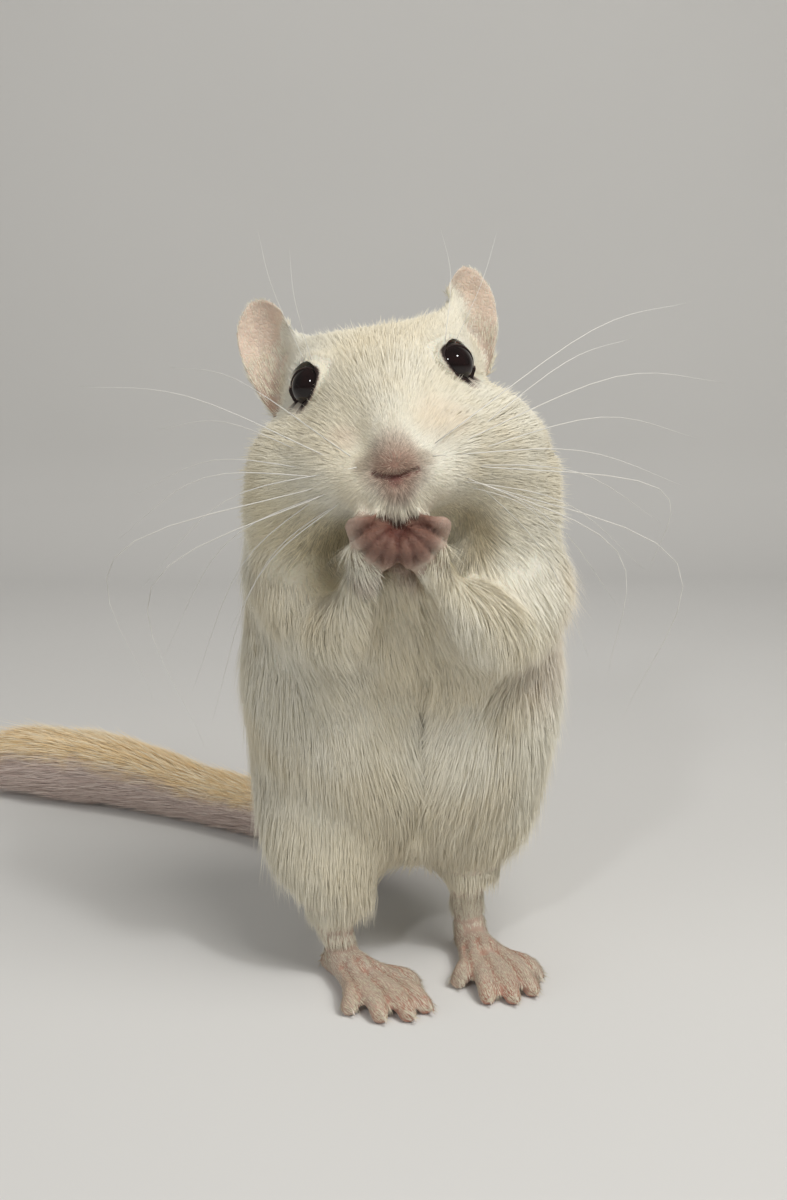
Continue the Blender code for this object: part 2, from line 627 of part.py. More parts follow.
def finish(pieces):
    """Names, materials and shading of the finished pieces, in a collection of their own."""
    looks = {
        "cream_coat": coat_material("cream_coat", (0.80, 0.76, 0.66), 0.85),
        "golden_coat": coat_material("golden_coat", (0.66, 0.47, 0.25), 0.85),
        "bare_skin": coat_material("bare_skin", (0.74, 0.50, 0.44), 0.6),
        "dark_eye": coat_material("dark_eye", (0.02, 0.008, 0.008), 0.08),
    }
    gerbil = bpy.data.collections.new("gerbil")
    bpy.context.scene.collection.children.link(gerbil)
    for thing in pieces:
        kind = thing.name.split("_")[0]
        look = {"tail": "golden_coat", "eye": "dark_eye", "hand": "bare_skin", "foot": "bare_skin", "ear": "bare_skin"}
        thing.data.materials.clear()
        thing.data.materials.append(looks[look.get(kind, "cream_coat")])
        thing.data.name = thing.name
        thing.data.shade_smooth()
        thing.data.set_sharp_from_angle(angle=math.radians(50))
        move_to(thing, gerbil)


def main():
    clear_scene()
    torso, neck, head, muzzle = make_core()
    lids = [make_lids(f"lids_{name}", side) for name, side in SIDES.items()]
    join_all(head, lids)
    eyes = [make_eye(f"eye_{name}", side) for name, side in SIDES.items()]
    carve(head, *eyes)
    muzzle_room = swollen(muzzle)
    cut_face(muzzle)
    ears = [make_ear(name, head) for name in SIDES]
    limbs = []
    for name in SIDES:
        upper, fore, wrist_cut = make_arm(name)
        thigh, shank, ankle_cut = make_leg(name)
        hand = boolean(make_hand(name, wrist_cut), muzzle_room, "DIFFERENCE")
        foot = make_foot(name, ankle_cut)
        for trunk in (torso, neck, head):
            carve(trunk, upper, fore)
        carve(torso, thigh, shank)
        limbs += [upper, fore, hand, thigh, shank, foot]
    bpy.data.objects.remove(muzzle_room)
    tail = make_tail()
    carve(tail[0], torso)
    add_whiskers(muzzle)
    pieces = [torso, neck, head, muzzle, *ears, *eyes, *limbs, *tail]
    stand_at_origin(pieces)
    finish(pieces)


main()
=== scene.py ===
import json
import math

import bmesh
import bpy
import numpy as np
from mathutils import Matrix, Vector
from mathutils.bvhtree import BVHTree
from mathutils.kdtree import KDTree

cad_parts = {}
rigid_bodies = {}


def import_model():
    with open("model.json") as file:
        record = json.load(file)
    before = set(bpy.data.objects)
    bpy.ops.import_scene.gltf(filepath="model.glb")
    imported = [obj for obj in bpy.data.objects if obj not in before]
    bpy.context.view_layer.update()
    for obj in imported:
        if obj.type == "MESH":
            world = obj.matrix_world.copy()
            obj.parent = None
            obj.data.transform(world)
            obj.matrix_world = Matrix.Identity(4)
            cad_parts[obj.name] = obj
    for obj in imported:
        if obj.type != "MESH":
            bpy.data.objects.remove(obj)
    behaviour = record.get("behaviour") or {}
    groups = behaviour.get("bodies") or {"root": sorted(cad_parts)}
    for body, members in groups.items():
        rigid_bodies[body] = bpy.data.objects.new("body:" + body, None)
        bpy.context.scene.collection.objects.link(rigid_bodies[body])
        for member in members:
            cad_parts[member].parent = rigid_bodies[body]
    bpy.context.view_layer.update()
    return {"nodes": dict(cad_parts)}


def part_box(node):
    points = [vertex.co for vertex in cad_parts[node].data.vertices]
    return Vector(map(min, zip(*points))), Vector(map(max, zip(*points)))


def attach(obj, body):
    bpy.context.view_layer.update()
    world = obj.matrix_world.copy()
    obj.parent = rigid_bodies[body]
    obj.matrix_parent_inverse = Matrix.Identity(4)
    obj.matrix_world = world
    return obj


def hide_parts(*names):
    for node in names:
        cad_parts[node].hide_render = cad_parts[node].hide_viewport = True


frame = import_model()
print("Frame loaded:", len(frame["nodes"]), "nodes")

# Places are worked out in the pose's own frame, in mm: the animal faces -Y, its left is +X,
# and the floor is at Z = 0
mm = 0.001
pose = dict(
    eyesMiddle=(-2.7, -15.0, 88.0),  # between the two eyeballs
    headRoll=-8.5,                   # degrees, the head leans to the animal's right
    eyeMove=(-0.3, 0.0, -0.7),       # of the left eyeball from its node's middle
)
sides = dict(left=1, right=-1)


def nodeMiddle(name):
    low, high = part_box(name)
    return np.array((low + high) / 2) / mm


eyeMiddles = {side: nodeMiddle("eye_" + side) for side in sides}
shift = (eyeMiddles["left"] + eyeMiddles["right"]) / 2 - np.array(pose["eyesMiddle"])
for side, way in sides.items():
    eyeMiddles[side] = eyeMiddles[side] - shift + (pose["eyeMove"][0] * way, *pose["eyeMove"][1:])
headTurn = np.array(Matrix.Rotation(math.radians(pose["headRoll"]), 3, "Y"))


def toRow(points):  # pose frame in mm to the CAD's frame in metres
    return (np.asarray(points, float) + shift) * mm


def toPose(points):
    return np.asarray(points, float) / mm - shift


def toHead(points):  # the head's frame: X to its left, Y back, Z up, from between the eyes
    return (np.asarray(points, float) - pose["eyesMiddle"]) @ headTurn


def headWay(way):  # a direction of the head's frame in the pose's frame
    return np.asarray(way, float) @ headTurn.T


def fromHead(points):
    return headWay(points) + pose["eyesMiddle"]


def activate(thing):
    bpy.ops.object.select_all(action="DESELECT")
    thing.select_set(True)
    bpy.context.view_layer.objects.active = thing


def applied(thing, kind, **settings):
    activate(thing)
    modifier = thing.modifiers.new(kind.title(), kind)
    for name, value in settings.items():
        setattr(modifier, name, value)
    bpy.ops.object.modifier_apply(modifier=modifier.name)
    return thing


def pointsOf(thing):  # pose frame
    flat = np.empty(len(thing.data.vertices) * 3, np.float32)
    thing.data.vertices.foreach_get("co", flat)
    return toPose(flat.reshape(-1, 3))


def setPoints(thing, points):
    thing.data.vertices.foreach_set("co", toRow(points).astype(np.float32).ravel())
    thing.data.update()


def normalsOf(thing):
    flat = np.empty(len(thing.data.vertices) * 3, np.float32)
    thing.data.vertex_normals.foreach_get("vector", flat)
    return flat.reshape(-1, 3).astype(float)


def unit(vectors):
    vectors = np.asarray(vectors, float)
    return vectors / np.maximum(np.linalg.norm(vectors, axis=-1, keepdims=True), 1e-9)


def farFrom(points, place):
    return np.linalg.norm(points - np.asarray(place, float), axis=1)


def bell(distance, width):
    return np.exp(-(distance / width) ** 2)


def smoothStep(low, high, values):
    t = np.clip((values - low) / (high - low), 0, 1)
    return t * t * (3 - 2 * t)


def fade(low, high, values):  # 1 below the first number, 0 over the second
    return 1 - smoothStep(low, high, values)


def climb(entry, values):  # entry: the least share, where it starts to grow, and where it reaches 1
    least, low, high = entry
    return least + (1 - least) * smoothStep(low, high, values)


def fall(entry, values):  # entry: the most, where it starts to fall, and where it reaches 0
    most, low, high = entry
    return most * fade(low, high, values)


def spread(points, count):  # the same line with evenly shared, smooth steps
    points = np.asarray(points, float)
    share = np.linspace(0, len(points) - 1, count)
    k = np.minimum(share.astype(int), len(points) - 2)
    t = (share - k)[:, None]
    padded = np.vstack((2 * points[0] - points[1], points, 2 * points[-1] - points[-2]))
    a, b, c, d = padded[k], padded[k + 1], padded[k + 2], padded[k + 3]
    square, cube = 2 * a - 5 * b + 4 * c - d, 3 * b - a - 3 * c + d
    return 0.5 * (2 * b + (c - a) * t + square * t ** 2 + cube * t ** 3)


class Neighbours:  # averages over a mesh's edges
    def __init__(self, mesh):
        flat = np.empty(len(mesh.edges) * 2, np.int32)
        mesh.edges.foreach_get("vertices", flat)
        self.a, self.b = flat.reshape(-1, 2).T
        self.count = len(mesh.vertices)
        self.degree = np.maximum(np.bincount(flat, minlength=self.count), 1)

    def mean(self, values):
        sums = []
        for column in values.reshape(self.count, -1).T:
            first = np.bincount(self.a, column[self.b], self.count)
            sums.append(first + np.bincount(self.b, column[self.a], self.count))
        return (np.array(sums) / self.degree).T.reshape(values.shape)

    def relaxed(self, values, rounds, weight=0.6):
        weight = weight if np.isscalar(weight) else weight.reshape((-1,) + (1,) * (values.ndim - 1))
        for _ in range(rounds):
            values = values + (self.mean(values) - values) * weight
        return values


# Skin: one closed surface in place of all the flesh nodes
skinShape = dict(
    gapFill=0.26,            # mm that the lengths of flesh swell by, so that they join
    fineGapFill=0.12,        # the same for ears, hands and feet
    voxel=0.34,
    rounds=30,               # of smoothing on the whole
    bodyRounds=240,          # and on torso and thighs, whose fur hides where they meet
    headRounds=150,          # and on head and neck, away from eyes and mouth
    fineRounds=5,            # and on the fine parts
    mostTriangles=172000,
    bodyFill=(               # balls under the coat that soften the hollows between arms, chest and belly
        ((-0.5, -16.5, 58.0), 7.0), ((-0.5, -15.0, 52.0), 8.5),
        ((9.0, -13.0, 48.0), 8.5), ((-8.5, -13.5, 47.5), 8.5),
        ((-0.6, -22.0, 61.5), 4.4), ((4.9, -26.0, 61.0), 3.3), ((-6.0, -26.0, 60.8), 3.2),
        ((14.8, -9.5, 63.8), 5.9), ((10.6, -15.6, 62.2), 5.6), ((-16.4, -9.5, 63.0), 6.1),
    ),
    cheekFill=(              # and balls that let the head's fur hang down to the arms and climb the ears
        ((12.0, -13.5, 69.5), 6.6), ((16.4, -9.5, 68.8), 6.3),
        ((16.3, -9.0, 73.6), 6.2), ((15.3, -8.5, 78.0), 6.1),
        ((-12.0, -14.0, 68.5), 6.6), ((-17.0, -10.5, 69.0), 6.2), ((-16.0, -9.5, 73.5), 6.0),
        ((-14.0, -5.8, 91.4), 2.9), ((-12.2, -5.8, 90.4), 2.9),
        ((6.9, -5.8, 95.4), 2.9), ((4.9, -5.8, 94.0), 2.9),
    ),
    cheekReach=0.5,          # mm round those that have the head's fur
    bodyWeight=0.7,          # of the smoothing on torso and thighs
    headWeight=0.6,          # and on the head
    armWeight=(0.35, 55.0, 60.0),   # and on the arms, where it ends between two heights at the wrists
    noseKept=(8.0, 12.0),    # mm from the nose between which the head's smoothing starts
    eyesKept=(4.0, 7.0),     # and from each eye's centre
    noseInset=(0.45, 2.0, 6.0),   # least share of the coat's depth, and the mm in which it grows to all of it
    eyeInset=(0.25, 3.0, 6.5),
    legsFrom=(4.0, 17.0),    # mm over the floor of what is smoothed once more
    earTips=(9.0, 11.0),     # and from the ears' roots
    tailEnd=(                # the way and the radii of the tail's last length
        (-58.0, 75.0, 5.3), (-65.0, 77.6, 5.1), (-72.0, 80.5, 4.7), (-78.0, 82.4, 4.0), (-82.6, 84.0, 3.0),
    ),
    tailEndRadii=(6.0, 5.8, 5.2, 4.2, 2.7),
)
# Forms that the coat's solids only hint at
faceShape = dict(
    nosePad=((-0.1, -15.6, -11.6), 2.6, 0.25),            # place in the head's frame, radius, height
    smile=(
        (-2.8, -16.0, -12.0), (-1.6, -16.4, -12.5), (-0.3, -16.4, -12.7),
        (1.3, -16.4, -12.65), (2.7, -16.0, -12.3),
    ),
    smileWidth=0.38, smileDepth=0.7,
    smileLow=((-0.3, -16.6, -13.5), 1.0),                 # the dark notch under its middle
    lipRow=(                                              # balls of the furry lip, in the pose's frame
        ((-4.9, -26.4, 73.4), 2.9), ((-2.9, -28.1, 73.2), 3.0), ((-0.7, -28.8, 73.1), 3.1),
        ((1.5, -28.1, 73.2), 3.0), ((3.5, -26.4, 73.4), 2.9),
    ),
    lipEdge=dict(middle=-0.7, half=6.2, low=70.9, ahead=-25.5),
    nostrils=((1.35, -17.2, -12.7), 0.55, 0.6),
    cleft=((0.0, -16.4, -13.9), (0.0, -15.8, -15.0), (0.0, -15.0, -16.0)),
    cleftWidth=0.3, cleftDepth=0.35,
)
fineNodes = ("hand", "foot", "ear")
fleshNodes = sorted(name for name in frame["nodes"] if not name.startswith("eye_"))
smoothNodes = [name for name in fleshNodes if name != "tail_tuft"]
whiskersOff = dict(far=24.0, steps=4)   # mm from between the eyes to the nearest tip, and edges to the root


def pluckWhiskers(shape):  # each ends in a point with three long edges
    middle = Vector(toRow(pose["eyesMiddle"]))
    far = whiskersOff["far"] * mm
    tips = [v for v in shape.verts if len(v.link_edges) == 3 and (v.co - middle).length > far]
    gone = set(tips)
    for _ in range(whiskersOff["steps"]):
        gone |= {edge.other_vert(vertex) for vertex in gone for edge in vertex.link_edges}
    bmesh.ops.delete(shape, geom=list(gone), context="VERTS")
    bmesh.ops.holes_fill(shape, edges=[edge for edge in shape.edges if edge.is_boundary], sides=0)
    print("  whiskers taken off:", len(tips))


def fleshCopy(name):
    activate(frame["nodes"][name])
    bpy.ops.object.duplicate()
    piece = bpy.context.active_object
    piece.parent = None
    for key in list(piece.keys()):
        del piece[key]
    shape = bmesh.new()
    shape.from_mesh(piece.data)
    bmesh.ops.remove_doubles(shape, verts=shape.verts, dist=1e-6)
    if name == "muzzle":
        pluckWhiskers(shape)
    shape.normal_update()
    fill = skinShape["fineGapFill"] if name.startswith(fineNodes) else skinShape["gapFill"]
    moves = [(vertex, vertex.normal * fill * mm) for vertex in shape.verts]
    for vertex, move in moves:
        vertex.co += move
    shape.to_mesh(piece.data)
    shape.free()
    return piece


def ball(middle, radius):
    bpy.ops.mesh.primitive_ico_sphere_add(subdivisions=3, radius=radius * mm, location=toRow(middle))
    return bpy.context.active_object


def joined(pieces, name):
    activate(pieces[0])
    for piece in pieces:
        piece.select_set(True)
    bpy.ops.object.join()
    thing = bpy.context.active_object
    bpy.ops.object.transform_apply(location=True, rotation=True, scale=True)
    thing.name = name
    thing.data.name = name
    thing.data.materials.clear()
    return thing


def keepOuter(thing):  # drops the closed hollows that the gaps leave inside
    activate(thing)
    points = pointsOf(thing)
    bpy.ops.object.mode_set(mode="EDIT")
    bpy.ops.mesh.select_all(action="DESELECT")
    bpy.ops.object.mode_set(mode="OBJECT")
    thing.data.vertices[int(points[:, 2].argmax())].select = True
    bpy.ops.object.mode_set(mode="EDIT")
    bpy.ops.mesh.select_mode(type="VERT")
    bpy.ops.mesh.select_linked()
    bpy.ops.mesh.select_all(action="INVERT")
    bpy.ops.mesh.delete(type="VERT")
    bpy.ops.object.mode_set(mode="OBJECT")


def startSkin():
    pieces = [fleshCopy(name) for name in smoothNodes]
    path = np.array(skinShape["tailEnd"])
    radii = np.array(skinShape["tailEndRadii"])
    for share in np.linspace(0, len(path) - 1, 16):
        k = min(int(share), len(path) - 2)
        t = share - k
        pieces.append(ball(path[k] * (1 - t) + path[k + 1] * t, radii[k] * (1 - t) + radii[k + 1] * t))
    for place, radius in faceShape["lipRow"] + skinShape["bodyFill"] + skinShape["cheekFill"]:
        pieces.append(ball(place, radius))
    thing = joined(pieces, "skin")
    applied(thing, "REMESH", mode="VOXEL", voxel_size=skinShape["voxel"] * mm)
    keepOuter(thing)
    return thing


skin = startSkin()
print("Skin joined:", len(skin.data.vertices), "points")

# The coat of each length: depth, length, width and share of hair for a square mm, and how far it stands up
coatOf = {
    "torso":     dict(depth=1.8, length=6.0, width=0.15, dense=12.5, lift=10),
    "neck":      dict(depth=1.6, length=5.0, width=0.15, dense=15.0, lift=13),
    "head":      dict(depth=1.0, length=3.2, width=0.13, dense=22.0, lift=12),
    "muzzle":    dict(depth=0.7, length=2.4, width=0.105, dense=30.0, lift=13),
    "ear":       dict(depth=0.30, length=2.0, width=0.08, dense=14.0, lift=13),
    "upper_arm": dict(depth=1.5, length=5.3, width=0.13, dense=15.0, lift=9),
    "forearm":   dict(depth=1.2, length=4.6, width=0.12, dense=18.0, lift=11),
    "hand":      dict(depth=0.05, length=0.9, width=0.08, dense=1.5, lift=16),
    "thigh":     dict(depth=1.8, length=6.0, width=0.15, dense=12.5, lift=10),
    "shank":     dict(depth=0.35, length=2.1, width=0.095, dense=15.0, lift=12),
    "foot":      dict(depth=0.05, length=1.2, width=0.085, dense=15.0, lift=9),
    "tail":      dict(depth=1.3, length=5.6, width=0.15, dense=9.5, lift=17),
}
coatKinds = list(coatOf)


def kindOf(name):
    return next(k for k, kind in enumerate(coatKinds) if name.startswith(kind))


def ofKind(kinds, *names):
    return np.isin(kinds, [coatKinds.index(name) for name in names])


def trianglesOf(mesh):
    mesh.calc_loop_triangles()
    corners = np.empty(len(mesh.loop_triangles) * 3, np.int32)
    mesh.loop_triangles.foreach_get("vertices", corners)
    return corners.reshape(-1, 3)


def kindsNear(points):  # the kind of the CAD node nearest to each point, and that node's side
    every, corners, kinds, nodeSides = [], [], [], []
    count = 0
    for name in smoothNodes:
        node = frame["nodes"][name]
        places, faces = pointsOf(node), trianglesOf(node.data)
        every.append(places)
        corners.append(faces + count)
        kinds += [kindOf(name)] * len(faces)
        nodeSides += [1 if name.endswith("_left") else -1 if name.endswith("_right") else 0] * len(faces)
        count += len(places)
    tree = BVHTree.FromPolygons(np.concatenate(every).tolist(), np.concatenate(corners).tolist())
    found = np.array([tree.find_nearest(place)[2] for place in points.tolist()])
    found, sideOf = np.array(kinds)[found], np.array(nodeSides)[found]
    for place, radius in skinShape["cheekFill"]:
        onCheek = farFrom(points, place) < radius + skinShape["cheekReach"]
        found[onCheek & ~ofKind(found, "muzzle", "hand")] = coatKinds.index("head")
    edge = faceShape["lipEdge"]
    onLip = (np.abs(points[:, 0] - edge["middle"]) < edge["half"]) & (points[:, 1] < edge["ahead"])
    found[onLip & (points[:, 2] > edge["low"])] = coatKinds.index("muzzle")
    return found, sideOf


earRoots = dict(left=(12.0, 9.6, -6.0), right=(-13.7, 9.6, -6.0))   # in the head's frame
eyeShape = dict(
    axis=(0.66, -0.69, 0.09),   # in the head's frame, for the left eye
    radius=2.85,
    opening=55.0,               # degrees from the axis to the lids' edge, as a round opening
    long=66.0, wide=44.5,       # the same along the slit and across it
    slant=50.0,                 # degrees that the slit's top leans to the midline
    stretch=1.05,               # of the eyeball along the slit
    almond=1.85,                # 2 is an ellipse, less has sharper corners
)


def eyeAxis(side):
    x, y, z = eyeShape["axis"]
    return unit(headWay((x * sides[side], y, z)))


def slitOf(side):  # unit vectors along the slit between the lids and across it
    axis = eyeAxis(side)
    up, inward = headWay((0, 0, 1)), headWay((-sides[side], 0, 0))
    up, inward = unit(up - (up @ axis) * axis), unit(inward - (inward @ axis) * axis)
    slant = math.radians(eyeShape["slant"])
    along = unit(up * math.cos(slant) + inward * math.sin(slant))
    return along, np.cross(axis, along)


def openingAt(along, across):  # degrees from the axis to the lids' edge, for a direction round the axis
    power = eyeShape["almond"]
    sums = (np.abs(along) / eyeShape["long"]) ** power + (np.abs(across) / eyeShape["wide"]) ** power
    return sums ** (-1 / power)


def aroundEyes(points):  # for each eye: way and distance from its centre, and the angle from its axis
    found = []
    for side in sides:
        away = points - eyeMiddles[side]
        far = farFrom(points, eyeMiddles[side])
        turn = np.degrees(np.arccos(np.clip(away @ eyeAxis(side) / np.maximum(far, 1e-6), -1, 1)))
        along, across = (away @ way for way in slitOf(side))
        size = np.maximum(np.hypot(along, across), 1e-6)
        turn = turn * eyeShape["opening"] / openingAt(along / size, across / size)
        found.append((side, away, far, turn))
    return found


def nearPath(points, line):  # distance from a line through places in the pose's frame
    best = np.full(len(points), 1e9)
    line = np.array(line, float)
    for start, end in zip(line, line[1:]):
        way = end - start
        along = np.clip((points - start) @ way / (way @ way), 0, 1)
        best = np.minimum(best, np.linalg.norm(points - start - along[:, None] * way, axis=1))
    return best


def nearLine(points, line):  # the same for places in the head's frame
    return nearPath(points, fromHead(line))


def settled(thing, line):  # places of the head's frame moved onto the surface, closely spaced
    faces = [tuple(face.vertices) for face in thing.data.polygons]
    tree = BVHTree.FromPolygons(pointsOf(thing).tolist(), faces)
    return toHead([tree.find_nearest(place)[0] for place in fromHead(spread(line, 21)).tolist()])


def fromNose(points):
    return farFrom(points, fromHead(faceShape["nosePad"][0]))


def fromNotch(points):  # as a share of the width of the dark notch under the mouth line
    place, wide = faceShape["smileLow"]
    return farFrom(points * (1, 0.5, 1), fromHead(place) * (1, 0.5, 1)) / wide


def carveFace(points, normals):
    def sink(distance, width, depth):
        return -normals * (depth * bell(distance, width))[:, None]

    moves = sink(nearLine(points, faceShape["smile"]), faceShape["smileWidth"], faceShape["smileDepth"])
    moves += sink(nearLine(points, faceShape["cleft"]), faceShape["cleftWidth"], faceShape["cleftDepth"])
    (x, y, z), radius, depth = faceShape["nostrils"]
    for side in sides.values():
        moves += sink(farFrom(points, fromHead((x * side, y, z))), radius, depth)
    place, radius, high = faceShape["nosePad"]
    moves -= sink(farFrom(points, fromHead(place)), radius, high)
    return points + moves


# Creases of the left hand from the midline, mirrored for the right: they meet under the mouth
handShape = dict(
    midline=-0.6,
    folds=(
        ((0.5, -31.4, 69.0), (1.6, -32.4, 67.0), (2.4, -31.6, 64.6)),
        ((0.6, -31.4, 69.2), (2.6, -32.4, 67.9), (4.4, -31.4, 66.0)),
        ((1.0, -31.4, 69.8), (3.4, -32.2, 69.4), (5.2, -31.0, 68.2), (6.2, -29.6, 67.2)),
        ((0.0, -32.0, 69.6), (0.0, -32.4, 67.0), (0.0, -31.0, 64.0)),
    ),
    wrinkles=(
        ((0.5, -31.4, 68.8), (0.9, -32.4, 66.4), (1.3, -31.8, 64.2)),
        ((0.6, -31.4, 69.0), (2.1, -32.6, 67.4), (3.4, -31.8, 65.2)),
        ((0.8, -31.4, 69.4), (3.1, -32.6, 68.6), (5.0, -31.4, 67.2)),
    ),
    foldWidth=0.34, foldDepth=0.60, wrinkleWidth=0.18, wrinkleDepth=0.20,
    centre=((0.0, -31.5, 69.0), 1.7),
    palmAhead=-29.0,        # no hair before this
)
# The parting of the belly's hair, and a lock that lies over its top
bellyPart = dict(x=2.7, low=28.0, high=43.0, width=0.8, depth=1.5, ahead=-5.0)
bellyLock = dict(line=((1.3, 0, 60.0), (2.6, 0, 54.0), (4.9, 0, 47.0)), width=0.9, rise=0.8, top=61.0)


def nearHandLines(points, key):
    best = np.full(len(points), 1e9)
    for line in handShape[key]:
        for way in sides.values():
            own = [(x * way + handShape["midline"], y, z) for x, y, z in line]
            best = np.minimum(best, nearPath(points * (1, 0.5, 1), np.array(own) * (1, 0.5, 1)))
    return best


def foldHands(points, normals, onHands):
    moved = points.copy()
    own, outward = points[onHands], normals[onHands]
    deep = handShape["foldDepth"] * bell(nearHandLines(own, "folds"), handShape["foldWidth"])
    deep += handShape["wrinkleDepth"] * bell(nearHandLines(own, "wrinkles"), handShape["wrinkleWidth"])
    moved[onHands] = own - outward * deep[:, None]
    return moved


def partBelly(points, normals):
    z = points[:, 2]
    low, high = bellyPart["low"], bellyPart["high"]
    share = bell(points[:, 0] - bellyPart["x"], bellyPart["width"]) * (points[:, 1] < bellyPart["ahead"])
    share *= smoothStep(low - 5, low, z) * fade(high - 2, high + 3, z)
    lock = bell(nearPath(points * (1, 0, 1), bellyLock["line"]), bellyLock["width"])
    lock *= (normals[:, 1] < -0.5) & (z < bellyLock["top"])
    return points + normals * (lock * bellyLock["rise"] - share * bellyPart["depth"])[:, None]


footShape = dict(
    heel=dict(left=(9.2, 4.4), right=(-11.2, -3.8)),
    turn=dict(left=16.0, right=32.2),     # degrees that the toes point to the animal's left
    long=24.5,
    toes=((0.75, -5.9), (0.93, -3.6), (1.0, -0.1), (0.96, 3.3), (0.70, 5.5)),   # share ahead, mm across
    gaps=(                                # the same for both ends of each gap between two toes
        (0.36, -2.4, 0.70, -4.7), (0.40, -0.8, 0.82, -1.9), (0.40, 0.9, 0.82, 1.7), (0.36, 2.4, 0.72, 4.4),
    ),
    gapWidth=0.42, gapDepth=0.5,
)
tailPath = (   # its middle line
    (0, 18, 15), (-3, 27, 11), (-9, 38, 7.4), (-18, 49, 6), (-30, 59, 5.8),
    (-44, 68, 5.9), (-58, 75, 5.9), (-72, 80.5, 5.2), (-83, 84, 3.6),
)


def footWays(side):  # the heel's place, and unit vectors ahead and across, to the animal's outer side
    turn = math.radians(footShape["turn"][side])
    ahead = np.array((math.sin(turn), -math.cos(turn), 0.0))
    across = np.array((-ahead[1], ahead[0], 0.0)) * -sides[side]
    return np.array((*footShape["heel"][side], 0.0)), ahead, across


tailLine = spread(tailPath, 160)
tailWay = unit(np.gradient(tailLine, axis=0))


def nearToeGaps(points, side):  # distance on the map from the lines between the toes
    heel, ahead, across = footWays(side)
    best = np.full(len(points), 1e9)
    for near, aside, far, splay in footShape["gaps"]:
        ends = ((near, aside), (far, splay))
        line = [heel + ahead * footShape["long"] * reach + across * way for reach, way in ends]
        best = np.minimum(best, nearPath(points * (1, 1, 0), line))
    return best


def partToes(points, normals, kinds, nodeSides):
    moved = points.copy()
    for side, way in sides.items():
        own = ofKind(kinds, "foot") & (nodeSides == way) & (normals[:, 2] > 0.1)
        deep = footShape["gapDepth"] * bell(nearToeGaps(points[own], side), footShape["gapWidth"])
        moved[own] -= (0, 0, 1) * deep[:, None]
    return moved


def nearestOnTail(points):
    far = ((points[:, None, :] - tailLine[None]) ** 2).sum(2)
    return far.argmin(1)


# The tail is fuller to its end: how much higher, and what share of that wider, between two places in x
tailSwell = dict(more=0.75, wider=0.5, start=-35.0, full=-80.0)


def swellTail(points, onTail):
    own = points[onTail]
    share = (own[:, 0] - tailSwell["start"]) / (tailSwell["full"] - tailSwell["start"])
    grow = tailSwell["more"] * np.clip(share, 0, 1.1)
    line = tailLine[nearestOnTail(own)]
    own[:, :2] = line[:, :2] + (own[:, :2] - line[:, :2]) * (1 + tailSwell["wider"] * grow)[:, None]
    own[:, 2] *= 1 + grow
    points[onTail] = own
    return points


# Target half width of each lower leg's surface by height: height, middle across, least and most half width
legTaper = dict(
    left=(
        (4.5, 10.2, 2.4, 2.9), (8.5, 9.8, 2.5, 2.8), (11.0, 9.8, 2.5, 2.9), (13.0, 10.0, 2.6, 3.6),
        (15.5, 9.9, 0.0, 6.5),
    ),
    right=(
        (4.0, -9.1, 2.3, 2.7), (5.6, -9.2, 2.5, 2.8), (8.3, -9.9, 2.7, 3.3), (11.0, -10.7, 0.0, 5.2),
        (14.0, -10.4, 0.0, 7.4),
    ),
)
shinTop = 11.0


def taperLegs(points, kinds, nodeSides):
    for side, table in legTaper.items():
        heights, across, leasts, mosts = np.array(table).T
        bottom, top = heights[0], heights[-1]
        ownSide = nodeSides == sides[side]
        own = ofKind(kinds, "thigh", "shank") & ownSide & (points[:, 2] > bottom) & (points[:, 2] < top)
        shin = points[ofKind(kinds, "shank") & ownSide & (points[:, 2] > bottom)]
        line = np.polyfit(shin[:, 2], shin[:, 1], 1)
        z = points[own, 2]
        middle = np.stack([np.interp(z, heights, across), np.polyval(line, np.minimum(z, shinTop))], 1)
        away = points[own, :2] - middle
        size = np.maximum(np.linalg.norm(away, axis=1), 1e-6)
        least, most = np.interp(z, heights, leasts), np.interp(z, heights, mosts)
        wanted = np.clip(size, np.minimum(least, most), most)
        share = smoothStep(bottom - 0.5, bottom + 3.0, z) * fade(top - 1.5, top, z)
        points[own, :2] += away * ((wanted / size - 1) * share)[:, None]
    return points


socketShape = dict(
    near=5.5,              # mm from an eye's centre in which the skin is fitted to it
    inside=3.0,            # degrees inside the lids' edge
    lids=22.0,             # and outside it
    behind=0.8,            # mm that the skin passes behind the eyeball's front
    over=(0.12, 0.55),     # mm that the lids stand over it, least and most
    ahead=0.1,             # share of the distance from which a place counts as before the eye
)


def openEyes(points):  # the skin passes behind each eyeball, and stands round it as lids
    radius, opening = eyeShape["radius"], eyeShape["opening"]
    for side, away, far, turn in aroundEyes(points):
        near = far < socketShape["near"]
        inside = near & (turn < opening - socketShape["inside"])
        reach = np.where(inside, np.minimum(far, radius - socketShape["behind"]), far)
        ahead = away @ eyeAxis(side) > socketShape["ahead"] * far
        onLid = near & ~inside & ((turn < opening + socketShape["lids"]) | ahead)
        least, most = socketShape["over"]
        reach = np.where(onLid, np.clip(reach, radius + least, radius + most), reach)
        moved = eyeMiddles[side] + away * (reach / np.maximum(far, 1e-6))[:, None]
        points = np.where(near[:, None], moved, points)
    return points


